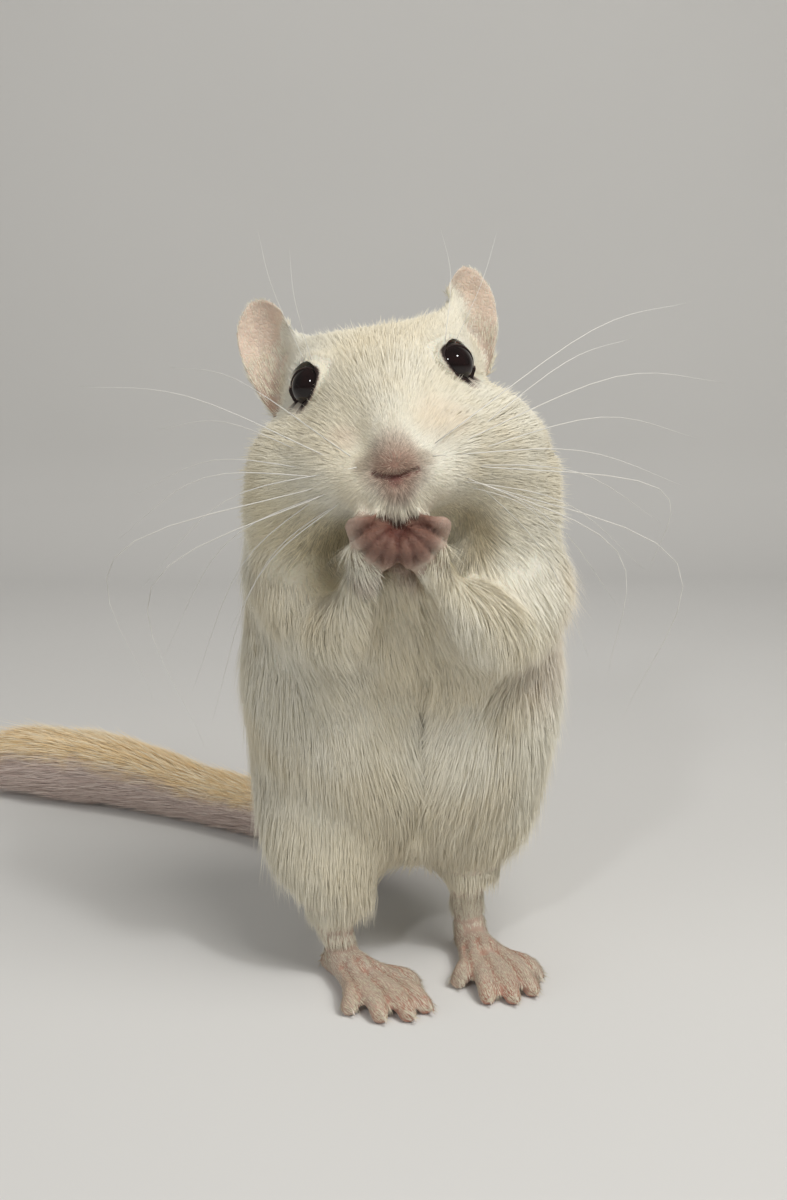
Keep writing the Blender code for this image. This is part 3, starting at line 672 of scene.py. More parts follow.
def shapeSkin(thing):
    kinds, _ = kindsNear(pointsOf(thing))
    around = Neighbours(thing.data)
    fine = ofKind(kinds, *fineNodes)
    weight = around.relaxed(np.where(fine, 0.0, np.where(ofKind(kinds, "muzzle"), 0.25, 0.6)), 12)
    points = around.relaxed(pointsOf(thing), skinShape["fineRounds"], 0.5)
    points = around.relaxed(points, skinShape["rounds"], weight)
    arms = ofKind(kinds, "upper_arm", "forearm") * fall(skinShape["armWeight"], points[:, 2])
    broad = around.relaxed(ofKind(kinds, "torso", "thigh") * skinShape["bodyWeight"] + arms, 12)
    points = around.relaxed(points, skinShape["bodyRounds"], broad)
    broad = skinShape["headWeight"] * ofKind(kinds, "head", "neck", "upper_arm", "muzzle")
    broad *= smoothStep(*skinShape["noseKept"], fromNose(points))
    for _, _, far, _ in aroundEyes(points):
        broad *= smoothStep(*skinShape["eyesKept"], far)
    points = around.relaxed(points, skinShape["headRounds"], around.relaxed(broad, 12) * ~fine)
    setPoints(thing, points)
    depth = np.array([coatOf[kind]["depth"] for kind in coatKinds])[kinds]
    fill = np.where(fine, skinShape["fineGapFill"], skinShape["gapFill"])
    inset = around.relaxed(depth + fill, 60)
    for _, _, far, _ in aroundEyes(points):
        inset *= climb(skinShape["eyeInset"], far)
    inset *= climb(skinShape["noseInset"], fromNose(points))
    # small steps with the normals taken again keep thin parts from folding
    for _ in range(3):
        points = pointsOf(thing) - normalsOf(thing) * (inset / 3)[:, None]
        setPoints(thing, around.relaxed(points, 2, 0.4 * np.minimum(weight / 0.6, 1)))
    for key in ("smile", "cleft"):
        faceShape[key] = settled(thing, faceShape[key])
    points = carveFace(pointsOf(thing), normalsOf(thing))
    points = foldHands(points, normalsOf(thing), ofKind(kinds, "hand"))
    points = partBelly(points, normalsOf(thing))
    kinds, nodeSides = kindsNear(points)
    points = taperLegs(points, kinds, nodeSides)
    points = swellTail(points, ofKind(kinds, "tail"))
    points = partToes(points, normalsOf(thing), kinds, nodeSides)
    low, high = skinShape["legsFrom"]
    legs = ofKind(kinds, "thigh", "shank") * (points[:, 2] > low) * (points[:, 2] < high)
    points = around.relaxed(points, 6, 0.5 * legs)
    earFar = np.min([farFrom(points, fromHead(root)) for root in earRoots.values()], axis=0)
    tips = ofKind(kinds, "ear") * smoothStep(*skinShape["earTips"], earFar)
    points = around.relaxed(points, 8, 0.5 * tips)
    points = openEyes(points)
    points[:, 2] = np.maximum(points[:, 2], 0.0)
    setPoints(thing, points)


shapeSkin(skin)
kept = skinShape["mostTriangles"] / (2 * len(skin.data.polygons))
applied(skin, "DECIMATE", ratio=kept, use_collapse_triangulate=True)
activate(skin)
bpy.ops.object.shade_smooth()
print("Skin shaped:", len(skin.data.polygons), "triangles")


# Lids: a soft rim round each eye, part of the skin
lidShape = dict(thickness=0.15, lift=0.05)


def addLids():
    rims = []
    for side in sides:
        bpy.ops.mesh.primitive_torus_add(
            major_segments=72, minor_segments=10, major_radius=mm, minor_radius=lidShape["thickness"] * mm,
        )
        rim = bpy.context.active_object
        flat = np.array([tuple(vertex.co) for vertex in rim.data.vertices]) / mm
        ring = np.hypot(flat[:, 0], flat[:, 1])
        along, across = flat[:, 0] / ring, flat[:, 1] / ring
        longWay, wideWay = slitOf(side)
        outward = along[:, None] * longWay + across[:, None] * wideWay
        turn = np.radians(openingAt(along, across))[:, None]
        raised = outward * np.sin(turn) + eyeAxis(side) * np.cos(turn)
        aside = outward * np.cos(turn) - eyeAxis(side) * np.sin(turn)
        reach = eyeShape["radius"] + lidShape["lift"] + flat[:, 2:]
        setPoints(rim, eyeMiddles[side] + raised * reach + aside * (ring - 1)[:, None])
        rims.append(rim)
    return joined([skin] + rims, "skin")


skin = addLids()
activate(skin)
bpy.ops.object.shade_smooth()

# The ways the hair lies, as directions in the pose's frame, with heights and places in mm
lieOf = dict(
    noseFocus=(0.0, -18.2, -11.2),        # head's frame: face hair points away from it
    nape=(0.0, 0.25, -1.0),
    body=(0.0, 0.05, -1.0),
    rightUpperArm=(0.35, -0.30, -0.90),   # the animal's right, at the picture's left
    rightForearm=(0.32, -0.10, -0.95),
    leftUpperArm=(0.14, -0.20, -1.0),
    leftForearm=(0.20, -0.10, -1.0),
    knees=dict(left=(9.6, -1.0, 12.0), right=(-9.7, -7.6, 10.0)),
    ankles=dict(left=(10.0, 0.0, 1.0), right=(-9.3, -7.0, -2.0)),
    partIn=0.40, partWide=(3.0, 7.0),     # how much belly hair leans to the parting, and how near to it
    partHigh=((26, 34), (56, 62)),        # heights between which that starts, and ends
    partOut=(0.8, 18, 27),                # how much it leans away again below
    downhill=0.8, toKnees=0.5,            # shares of the thighs' two ways
    toAnkles=(1.5, 11, 24), toesDown=-0.15,
    fromEyes=(2.8, 1.7, 2.2),             # mm from an eye's centre, the fall beyond it, and how strong
)
lipHair = dict(length=2.1, wide=5.5, low=(13.4, 15.2), ahead=-6.0)   # in the head's frame
mouthHollow = ((-0.6, -30.4, 68.9), 2.0)          # bare and dark between the lip and the hands: the mouth's opening, with painted shade under the lip
wristHair = dict(top=62.8, most=67.5, sides=0.14, dense=19.0, length=3.2, width=0.12)


def wristAt(points, kinds):  # where the hands are furry: their lower part, more of it at the sides
    top = wristHair["top"] + wristHair["sides"] * (points[:, 0] - handShape["midline"]) ** 2
    return ofKind(kinds, "hand") & (points[:, 2] < np.minimum(top, wristHair["most"]))


def fromMouth(points):  # as a share of the hollow's radius
    return farFrom(points, mouthHollow[0]) / mouthHollow[1]


def layHair(points, normals, kinds, nodeSides, around):
    lie = np.zeros_like(points)
    onHead = ofKind(kinds, "head", "muzzle")
    lie[onHead] = unit(points[onHead] - fromHead(lieOf["noseFocus"]))
    lie[ofKind(kinds, "neck")] = unit(lieOf["nape"])
    lie[ofKind(kinds, "torso")] = unit(lieOf["body"])
    front = ofKind(kinds, "torso") & (normals[:, 1] < 0)
    x, z = points[:, 0] - bellyPart["x"], points[:, 2]
    near, wide = lieOf["partWide"]
    inward = -np.sign(x) * bell(np.abs(x) - near, wide) * lieOf["partIn"]
    start, end = lieOf["partHigh"]
    inward *= smoothStep(*start, z) * fade(*end, z) - fall(lieOf["partOut"], z)
    lie[front, 0] += inward[front]
    for side, way in sides.items():
        own = {kind: ofKind(kinds, kind) & (nodeSides == way) for kind in coatKinds}
        onThigh, onEar = own["thigh"], own["ear"]
        lie[own["upper_arm"]] = unit(lieOf[side + "UpperArm"])
        lie[own["forearm"]] = unit(lieOf[side + "Forearm"])
        lie[onThigh] = unit(lieOf["body"]) * lieOf["downhill"]
        lie[onThigh] += lieOf["toKnees"] * unit(lieOf["knees"][side] - points[onThigh])
        pull = fall(lieOf["toAnkles"], points[onThigh, 2])
        lie[onThigh] += unit(lieOf["ankles"][side] - points[onThigh]) * pull[:, None]
        lie[own["shank"]] = (0, 0, -1)
        lie[own["foot"]] = footWays(side)[1] + np.array((0, 0, lieOf["toesDown"]))
        lie[own["hand"]] = unit(lieOf[side + "Forearm"])
        lie[onEar] = unit(points[onEar] - fromHead(earRoots[side]))
    onTail = ofKind(kinds, "tail")
    lie[onTail] = tailWay[nearestOnTail(points[onTail])]
    lie = around.relaxed(unit(lie), 45)
    start, wide, strong = lieOf["fromEyes"]
    for side, away, far, _ in aroundEyes(points):
        aside = away - (away @ eyeAxis(side))[:, None] * eyeAxis(side)
        near = bell(np.maximum(far - start, 0), wide)
        lie = lie + unit(aside) * near[:, None] * strong
    lie -= (lie * normals).sum(1)[:, None] * normals
    return unit(lie)


# Where the hair is less: the least share, and the mm between which it grows back to the coat's own
lessHair = dict(
    noseLength=(0.24, 1.5, 15.0), noseWidth=(0.65, 1.5, 9.0),
    eyeLength=(0.26, 3.4, 8.0), eyeWidth=(0.6, 3.2, 6.0),
    notchLength=(0.3, 0.6, 1.4), rampLength=(0.4, 3.2, 6.0),
    hemLength=(0.55, 6.0, 20.0), shankDense=(0.45, 5.0, 9.5),   # by height over the floor
)
noseHair = dict(denser=(0.5, 3.0, 7.0), lift=(13, 2.5, 6.0))    # the most, and the mm between which it ends
earHair = dict(
    longer=1.5, wider=0.4,                        # as shares more, in front at the base of the ears
    base=(1, 5.0, 10.0), middle=(1, -0.5, 1.5),   # mm from the root, and from its middle outwards
    ramps=((-14.0, -5.8, 93.0), (7.2, -5.8, 97.5)),   # short hair where the head climbs to the ears
    cup=0.25, rim=0.5,                            # how much the bare cup faces ahead, and the rim at most
    tips=(8.0, 12.0), tipShorter=0.62, tipFlatter=0.5, cupSparser=0.35,
)
tailHair = dict(brush=0.7, start=0.74, full=0.95, topLift=7.0)   # longer by that share to the tail's end
flankWisps = dict(lift=17.0, facing=(0.55, 0.9), low=(16, 26), top=76)   # stand up more on the left flank
lidHair = dict(far=5.0, beside=7.0)   # none so near to an eye's centre and to the lids' edge, in degrees
clumpOf = dict(body=1.0, arms=0.6, ears=0.9)
smileBare = 0.45


def hairFields(thing):  # what each point of the skin carries
    points, normals = pointsOf(thing), normalsOf(thing)
    kinds, nodeSides = kindsNear(points)
    around = Neighbours(thing.data)
    local, z, upward = toHead(points), points[:, 2], normals[:, 2]
    length, width, dense, lift = (
        around.relaxed(np.array([coatOf[kind][key] for kind in coatKinds], float)[kinds], 25)
        for key in ("length", "width", "dense", "lift")
    )
    lie = layHair(points, normals, kinds, nodeSides, around)
    clump = ofKind(kinds, "torso", "thigh", "neck", "tail") * clumpOf["body"]
    clump += ofKind(kinds, "upper_arm", "forearm") * clumpOf["arms"]
    clump = around.relaxed(clump, 30) + clumpOf["ears"] * ofKind(kinds, "ear")
    wisps = smoothStep(*flankWisps["facing"], normals[:, 0]) * smoothStep(*flankWisps["low"], z)
    wisps *= (z < flankWisps["top"]) * ofKind(kinds, "torso", "thigh", "upper_arm", "neck", "head")
    lift += flankWisps["lift"] * wisps
    noseFar = fromNose(points)
    length *= climb(lessHair["noseLength"], noseFar)
    width *= climb(lessHair["noseWidth"], noseFar)
    dense *= 1 + fall(noseHair["denser"], noseFar)
    lift += fall(noseHair["lift"], noseFar)
    lip = bell(local[:, 0], lipHair["wide"]) * smoothStep(*lipHair["low"], -local[:, 2])
    lip *= (local[:, 1] < lipHair["ahead"]) & ofKind(kinds, "muzzle")
    length = np.maximum(length, lipHair["length"] * lip)
    dense *= np.where(ofKind(kinds, "shank"), climb(lessHair["shankDense"], z), 1)
    length *= np.where(ofKind(kinds, "thigh", "torso"), climb(lessHair["hemLength"], z), 1)
    onWrist = wristAt(points, kinds)
    for values, key in ((length, "length"), (width, "width"), (dense, "dense")):
        values[onWrist] = wristHair[key]
    brush = smoothStep(tailHair["start"], tailHair["full"], nearestOnTail(points) / len(tailLine))
    length *= 1 + tailHair["brush"] * brush * ofKind(kinds, "tail")
    lift += tailHair["topLift"] * ofKind(kinds, "tail") * smoothStep(0.2, 0.9, upward)
    bald = (nearLine(points, faceShape["smile"]) < smileBare) | (fromMouth(points) < 1)
    for _, _, far, turn in aroundEyes(points):
        length *= climb(lessHair["eyeLength"], far)
        width *= climb(lessHair["eyeWidth"], far)
        bald |= (far < lidHair["far"]) & (turn < eyeShape["opening"] + lidHair["beside"])
    length *= climb(lessHair["notchLength"], fromNotch(points))
    # the cup of each ear is nearly bare
    onEar = ofKind(kinds, "ear")
    facing = normals @ unit(headWay((0, -1, 0.1)))
    hollow = (onEar & (facing > earHair["cup"])) * 1.0
    rim = onEar & (np.abs(facing) < earHair["rim"])
    outer = rim * 1.0
    for side, way in sides.items():
        own = onEar & (nodeSides == way)
        away = farFrom(points[own], fromHead(earRoots[side]))
        outer[own] = np.maximum(outer[own], smoothStep(*earHair["tips"], away))
        aside = np.abs(local[own, 0]) - abs(earRoots[side][0])
        inner = (hollow * ~rim)[own] * fall(earHair["base"], away) * fall(earHair["middle"], aside)
        length[own] *= 1 + earHair["longer"] * inner
        width[own] *= 1 + earHair["wider"] * inner
    for place in earHair["ramps"]:
        length *= climb(lessHair["rampLength"], farFrom(points, place))
    length *= 1 - earHair["tipShorter"] * outer
    lift *= 1 - earHair["tipFlatter"] * outer
    hollow = around.relaxed(hollow, 3)
    sole = ofKind(kinds, "foot") & (upward < -0.3)
    palm = ofKind(kinds, "hand") & (points[:, 1] < handShape["palmAhead"]) & ~onWrist
    dense *= (1 - earHair["cupSparser"] * hollow) * ~(bald | sole | palm)
    return dict(
        points=points, normals=normals, kinds=kinds, nodeSides=nodeSides, lie=lie, hollow=hollow,
        length=length, width=width, dense=dense, lift=lift, clump=clump,
    )


hair = hairFields(skin)
print("Lie of the coat worked out")

# Coat pieces: which part of the skin each one grows from, and how it is unwrapped
mostTufts = 33000
coatSeed = 20
tuftShape = dict(
    sink=0.02,          # mm that a root is under the skin
    sinkShare=0.035,    # and that share of its length more
    ridge=0.40,         # how high a tuft's ridge is for its half width
    widest=0.36,        # share of the length where a tuft is thickest
    longer=0.10,        # share of tufts that are guard hairs
    stretch=1.45,       # and how much longer they are
    guardWidth=0.75, guardLift=6.0,
    lengths=(0.72, 0.5), widths=(0.75, 0.5),   # the least share of each, and how much more at random
    sway=0.10, liftSway=3.0,
    flatter=0.45,       # of its lift, beyond the widest place
    patch=0.003,        # of its own map
)
clumpShape = dict(share=0.06, pull=0.32, pulls=(0.5, 0.7), apart=0.25)


triangles = trianglesOf(skin.data)
corners = hair["points"][triangles]
areas = np.linalg.norm(np.cross(corners[:, 1] - corners[:, 0], corners[:, 2] - corners[:, 0]), axis=1) / 2
middles = corners.mean(1)
triangleKinds = hair["kinds"][triangles[:, 0]]
triangleSides = hair["nodeSides"][triangles[:, 0]]


def unwrapRound(points, origin, axis, start):  # turn round an axis, and way along it, both 0 to 1
    axis = unit(axis)
    start = unit(start - (start @ axis) * axis)
    side = np.cross(axis, start)
    away = points - origin
    turn = np.arctan2(away @ side, away @ start) / (2 * math.pi) + 0.5
    along = away @ axis
    return np.stack((turn, (along - along.min()) / max(np.ptp(along), 1e-6)), 1)


def unwrapBody(points, nodeSides):
    return unwrapRound(points, (-0.4, 2, 0), (0, 0, 1), (0, 1, 0))


def unwrapHead(points, nodeSides):
    return unwrapRound(points, fromHead((0, 0, -9)), headWay((0, 1, 0.3)), (0, 0, -1))


def unwrapPair(points, nodeSides):  # each side has half of the map
    uv = np.zeros((len(points), 2))
    for k, way in enumerate((1, -1)):
        own = nodeSides == way
        if own.any():
            around = unwrapRound(points[own], points[own].mean(0), (0.3 * way, -0.5, 1), (0, 1, 0))
            uv[own] = around * (0.48, 1) + (0.5 * k + 0.01, 0)
    return uv


def unwrapTail(points, nodeSides):
    near = nearestOnTail(points)
    away = points - tailLine[near]
    across = unit(np.cross(tailWay[near], (0, 0, 1.0)))
    turn = np.arctan2((away * across).sum(1), away[:, 2]) / (2 * math.pi) + 0.5
    return np.stack((turn, near / len(tailLine)), 1)


def meanOf(key, which, shares):
    values = hair[key][triangles[which]]
    if values.ndim == 2:
        return (values * shares).sum(1)
    return (values * shares[..., None]).sum(1)


def sow(mask, rng, more=1.0):  # roots spread evenly over the masked triangles
    weights = np.where(mask, areas * hair["dense"][triangles].mean(1) * more, 0)
    count = int(round(weights.sum()))
    sums = np.cumsum(weights)
    which = np.searchsorted(sums, (np.arange(count) + rng.random(count)) * sums[-1] / count)
    which = np.minimum(which, len(triangles) - 1)
    a, b = rng.random(count), rng.random(count)
    flip = a + b > 1
    a[flip], b[flip] = 1 - a[flip], 1 - b[flip]
    shares = np.stack((1 - a - b, a, b), 1)
    keys = ("points", "normals", "lie", "length", "width", "lift", "clump")
    tufts = {key: meanOf(key, which, shares) for key in keys}
    tufts["sides"] = triangleSides[which]
    tufts["normals"] = unit(tufts["normals"])
    tufts["lie"] = unit(tufts["lie"] - (tufts["lie"] * tufts["normals"]).sum(1)[:, None] * tufts["normals"])
    return tufts


def drawn(rng, entry, count):  # random shares: the least, and how much more at most
    least, more = entry
    return least + more * rng.random(count)


def gather(tufts, tips, rng):  # neighbouring tips lean together in small locks
    roots = tufts["points"]
    leaders = np.flatnonzero(rng.random(len(roots)) < clumpShape["share"])
    if len(leaders) < 2:
        return tips
    tree = KDTree(len(leaders))
    for k, place in enumerate(roots[leaders].tolist()):
        tree.insert(place, k)
    tree.balance()
    led = leaders[[tree.find(place)[1] for place in roots.tolist()]]
    goal = tips[led] + (roots - roots[led]) * clumpShape["apart"]
    pull = clumpShape["pull"] * tufts["clump"] * drawn(rng, clumpShape["pulls"], len(roots))
    return tips + (goal - tips) * pull[:, None]


def makeTufts(name, tufts, uv, rng, material):
    count = len(tufts["points"])
    length = tufts["length"] * drawn(rng, tuftShape["lengths"], count)
    guard = rng.random(count) < tuftShape["longer"]
    length = np.where(guard, length * tuftShape["stretch"], length)
    width = tufts["width"] * drawn(rng, tuftShape["widths"], count)
    width = np.where(guard, width * tuftShape["guardWidth"], width)
    normals = tufts["normals"]
    across = np.cross(tufts["lie"], normals)
    lie = unit(tufts["lie"] + across * rng.normal(0, tuftShape["sway"], count)[:, None])
    lift = tufts["lift"] + rng.normal(0, tuftShape["liftSway"], count) + tuftShape["guardLift"] * guard
    lift = np.radians(lift)
    out = lie * np.cos(lift)[:, None] + normals * np.sin(lift)[:, None]
    flat = lift * tuftShape["flatter"]
    over = lie * np.cos(flat)[:, None] + normals * np.sin(flat)[:, None]
    roots = tufts["points"] - normals * (tuftShape["sink"] + tuftShape["sinkShare"] * length)[:, None]
    share = tuftShape["widest"]
    middles = roots + out * (length * share)[:, None]
    tips = middles + over * (length * (1 - share))[:, None]
    tips = gather(tufts, tips, rng)
    across = unit(np.cross(tips - roots, normals))
    up = unit(np.cross(across, tips - roots))
    half = (width / 2)[:, None]
    ring = [middles + across * half, middles + up * half * tuftShape["ridge"], middles - across * half]
    places = np.stack([roots] + ring + [tips], 1).reshape(-1, 3)
    places[:, 2] = np.maximum(places[:, 2], 0.02)
    base = np.array(((0, 1, 2), (0, 2, 3), (0, 3, 1), (2, 1, 4), (3, 2, 4), (1, 3, 4)))
    faces = (np.arange(count)[:, None, None] * 5 + base[None]).reshape(-1, 3)
    # three strips side by side in each tuft's own patch, root at the bottom
    corner = [((k + 0.5, 0), (k, share), (k + 1, share)) for k in range(3)]
    corner += [((k + 1, share), (k, share), (k + 0.5, 1)) for k in range(3)]
    patch = (np.array(corner) * (1 / 3, 1) - 0.5) * tuftShape["patch"]
    uv = 0.01 + 0.98 * np.clip(uv, 0, 1)
    loops = (uv[:, None, None, :] + patch[None]).reshape(-1, 2)
    along = np.tile(np.array((0, share, share, share, 1.0)), count)
    tone = np.repeat(rng.random(count), 5)
    upward = np.repeat(tufts["normals"][:, 2], 5)
    return meshFrom(name, places, faces, dict(along=along, tone=tone, upward=upward), material, loops)


def setAttribute(mesh, name, values):
    mesh.attributes.new(name, "FLOAT", "POINT").data.foreach_set("value", values.astype(np.float32))


def meshFrom(name, places, faces, attributes, material, loops=None):  # with loops: flat tufts with a map
    mesh = bpy.data.meshes.new(name)
    mesh.vertices.add(len(places))
    mesh.vertices.foreach_set("co", toRow(places).astype(np.float32).ravel())
    mesh.loops.add(faces.size)
    mesh.loops.foreach_set("vertex_index", faces.astype(np.int32).ravel())
    mesh.polygons.add(len(faces))
    mesh.polygons.foreach_set("loop_start", np.arange(0, faces.size, 3, dtype=np.int32))
    mesh.update(calc_edges=True)
    mesh.polygons.foreach_set("use_smooth", np.full(len(faces), loops is None))
    if loops is not None:
        layer = mesh.uv_layers.new(name="OFBake")
        layer.uv.foreach_set("vector", loops.astype(np.float32).ravel())
    for key, values in attributes.items():
        setAttribute(mesh, key, values)
    thing = bpy.data.objects.new(name, mesh)
    bpy.context.scene.collection.objects.link(thing)
    mesh.materials.append(material)
    return thing


# Materials
coatColours = dict(
    cream=(0.83, 0.775, 0.63),
    paleCream=(0.87, 0.84, 0.73),
    rootShade=0.88,        # how dark hair is at its root, as painted shade in the coat's depth
    tipShade=1.04,
    toneChange=0.07,       # between one tuft and the next
    streaks=(              # places with more of it: place, reach, how many times more
        ((-9.5, -18.0, 64.0), 10.0, 3.5), ((9.5, -17.0, 65.0), 9.5, 3.5), ((-4.5, -28.0, 62.0), 4.0, 5.0),
        (fromHead((0, -15.5, -11.0)), 6.0, 4.5), (fromHead((0, -15.0, -15.0)), 4.5, 3.0),
    ),
)
tailColours = dict(
    golden=(0.97, 0.76, 0.45), paleGold=(0.98, 0.90, 0.71),
    # the underside: its own greyish pink, darkened as painted shade
    under=(0.68, 0.55, 0.50), paleUnder=(0.82, 0.72, 0.66),
    starts=(24, 30), below=(13.5, 18.0),   # mm back and high between which they take over
    top=(0.25, 0.85),                      # how far up a side looks where gold takes over
)
# Marks and painted shade that skin and coat share: place in the pose's frame, reach, colour and strength
coatMarksAndShade = (
    (fromHead((0, -16.0, -11.2)), 5.2, (0.38, 0.24, 0.17), 0.85),
    (fromHead((0, -15.0, -8.2)), 3.6, (0.60, 0.52, 0.43), 0.40),
    # pinkish brown under the smile, darkened further as painted shade
    (fromHead((0, -16.0, -14.4)), 2.8, (0.38, 0.26, 0.20), 0.65),
    (fromHead((-4.2, -14.3, -10.6)), 1.9, (0.46, 0.38, 0.29), 0.55),
    (fromHead((4.0, -14.3, -10.9)), 1.8, (0.46, 0.38, 0.29), 0.50),
    # painted shade at the left wrist and under the hands
    ((-4.6, -28.5, 61.5), 2.6, (0.40, 0.29, 0.24), 0.45),
    ((1.6, -25.0, 62.6), 3.8, (0.52, 0.38, 0.32), 0.50),
    ((4.9, -24.0, 82.0), 5.0, (0.84, 0.68, 0.50), 0.32),
    ((-7.2, -24.5, 79.0), 3.0, (0.72, 0.55, 0.45), 0.35),
    ((-2.0, -12.0, 97.0), 13.0, (0.86, 0.76, 0.55), 0.45),
    # the cheeks' yellowish tint, stronger on the left as painted shade
    ((-14.0, -15.0, 69.0), 11.0, (0.78, 0.70, 0.48), 0.50),
    ((12.0, -16.0, 68.0), 6.5, (0.78, 0.70, 0.48), 0.15),
    # painted shade and shadow under the cheeks beside the hands, darkest next to them
    ((-8.5, -20.5, 62.5), 7.0, (0.54, 0.45, 0.26), 0.65),
    ((-6.6, -21.5, 62.6), 3.6, (0.30, 0.23, 0.12), 0.75),
    ((10.0, -20.5, 66.4), 5.0, (0.40, 0.32, 0.18), 0.75),
    ((6.8, -22.5, 65.8), 2.8, (0.28, 0.21, 0.11), 0.70),
    ((21.0, -6.0, 50.0), 14.0, (0.86, 0.76, 0.66), 0.45),
    # painted shade: darker towards the floor, and on the chest under the hands
    ((0.0, -10.0, 10.0), 34.0, (0.64, 0.58, 0.43), 0.40),
    ((-1.0, -20.0, 50.0), 15.0, (0.66, 0.59, 0.43), 0.35),
)


def wire(tree, kind, inputs, **settings):
    node = tree.nodes.new(kind)
    for name, value in settings.items():
        setattr(node, name, value)
    for key, value in inputs.items():
        if isinstance(value, bpy.types.NodeSocket):
            tree.links.new(value, node.inputs[key])
        else:
            node.inputs[key].default_value = value
    return node


def mixColours(tree, share, first, second):
    first, second = (
        value if isinstance(value, bpy.types.NodeSocket) else (*value, 1.0) for value in (first, second)
    )
    return wire(tree, "ShaderNodeMix", {0: share, 6: first, 7: second}, data_type="RGBA").outputs[2]


def scaled(tree, colour, by):  # colour times a number
    return wire(tree, "ShaderNodeVectorMath", {0: colour, "Scale": by}, operation="SCALE").outputs[0]


def ranged(tree, value, low, high, toLow=0.0, toHigh=1.0, smooth=True):
    return wire(
        tree, "ShaderNodeMapRange", {0: value, 1: low, 2: high, 3: toLow, 4: toHigh},
        interpolation_type="SMOOTHSTEP" if smooth else "LINEAR",
    ).outputs[0]


def times(tree, first, second):
    return wire(tree, "ShaderNodeMath", {0: first, 1: second}, operation="MULTIPLY").outputs[0]


def plus(tree, first, second):
    return wire(tree, "ShaderNodeMath", {0: first, 1: second}, operation="ADD").outputs[0]


def noiseOf(tree, place, scale, detail=3.0, roughness=0.5):
    inputs = {"Vector": place, "Scale": scale, "Detail": detail, "Roughness": roughness}
    return wire(tree, "ShaderNodeTexNoise", inputs).outputs["Fac"]


def attributeOf(tree, name, output="Fac"):
    return wire(tree, "ShaderNodeAttribute", {}, attribute_name=name).outputs[output]


def nearness(tree, place, spot, reach):  # 1 at the spot, 0 beyond its reach
    away = wire(tree, "ShaderNodeVectorMath", {0: place, 1: tuple(toRow(spot))}, operation="DISTANCE")
    return ranged(tree, away.outputs["Value"], reach * 0.35 * mm, reach * 1.1 * mm, 1.0, 0.0)


def coatColour(tree, place):
    patchy = ranged(tree, noiseOf(tree, place, 70.0), 0.38, 0.62)
    colour = mixColours(tree, patchy, coatColours["cream"], coatColours["paleCream"])
    for spot, reach, tint, strength in coatMarksAndShade:
        share = times(tree, nearness(tree, place, spot, reach), strength)
        colour = mixColours(tree, share, colour, tint)
    parts = wire(tree, "ShaderNodeSeparateXYZ", {0: place})
    (_, front, _), (_, back, _) = toRow([(0, y, 0) for y in tailColours["starts"]]).tolist()
    # the tail is gold where its surface faces up and darker beneath, partly painted shade
    onTop = plus(tree, attributeOf(tree, "upward"), times(tree, noiseOf(tree, place, 300.0), 0.5))
    onTop = ranged(tree, onTop, *tailColours["top"])
    streak = ranged(tree, attributeOf(tree, "tone"), 0.35, 0.9)
    gold = mixColours(tree, streak, tailColours["golden"], tailColours["paleGold"])
    under = mixColours(tree, streak, tailColours["under"], tailColours["paleUnder"])
    behind = ranged(tree, parts.outputs["Y"], front, back)
    below = ranged(tree, parts.outputs["Z"], *(high * mm for high in tailColours["below"]), 1.0, 0.0)
    return mixColours(tree, times(tree, behind, below), colour, mixColours(tree, onTop, under, gold))


def newMaterial(name, colourOf, **sockets):  # colourOf makes the colour from the tree and the place
    material = bpy.data.materials.new(name)
    material.use_nodes = True
    tree = material.node_tree
    shader = next(node for node in tree.nodes if node.type == "BSDF_PRINCIPLED")
    for key, value in sockets.items():
        shader.inputs[key.replace("_", " ")].default_value = value
    place = wire(tree, "ShaderNodeTexCoord", {}).outputs["Object"]
    tree.links.new(colourOf(tree, place), shader.inputs["Base Color"])
    return material, tree, shader, place


def alongColour(root, tip):  # from one colour to the other along each hair or claw
    return lambda tree, place: mixColours(tree, attributeOf(tree, "along"), root, tip)


def cloudColour(scale, low, high, first, second):
    return lambda tree, place: mixColours(
        tree, ranged(tree, noiseOf(tree, place, scale), low, high), first, second
    )


def hairColour(tree, place):
    along, change = attributeOf(tree, "along"), 1.0
    shade = ranged(tree, along, 0.0, 0.75, coatColours["rootShade"], coatColours["tipShade"], smooth=False)
    for spot, reach, more in coatColours["streaks"]:
        change = plus(tree, change, times(tree, nearness(tree, place, spot, reach), more))
    change = times(tree, change, coatColours["toneChange"] * 1.7)
    tone = times(tree, plus(tree, attributeOf(tree, "tone"), -0.6), change)
    return scaled(tree, coatColour(tree, place), times(tree, shade, plus(tree, tone, 1.0)))


bareColours = dict(
    ear=(0.70, 0.57, 0.47), earDeep=(0.45, 0.32, 0.26), hand=(0.20, 0.108, 0.08), handRim=(0.50, 0.37, 0.30),
    # the darkest, for the hands' creases and their centre, is painted shade
    creaseShade=(0.11, 0.04, 0.03), foot=(0.53, 0.39, 0.315), toeTip=(0.47, 0.22, 0.16),
    nose=(0.32, 0.17, 0.125), line=(0.15, 0.04, 0.035), lid=(0.022, 0.012, 0.011),
)
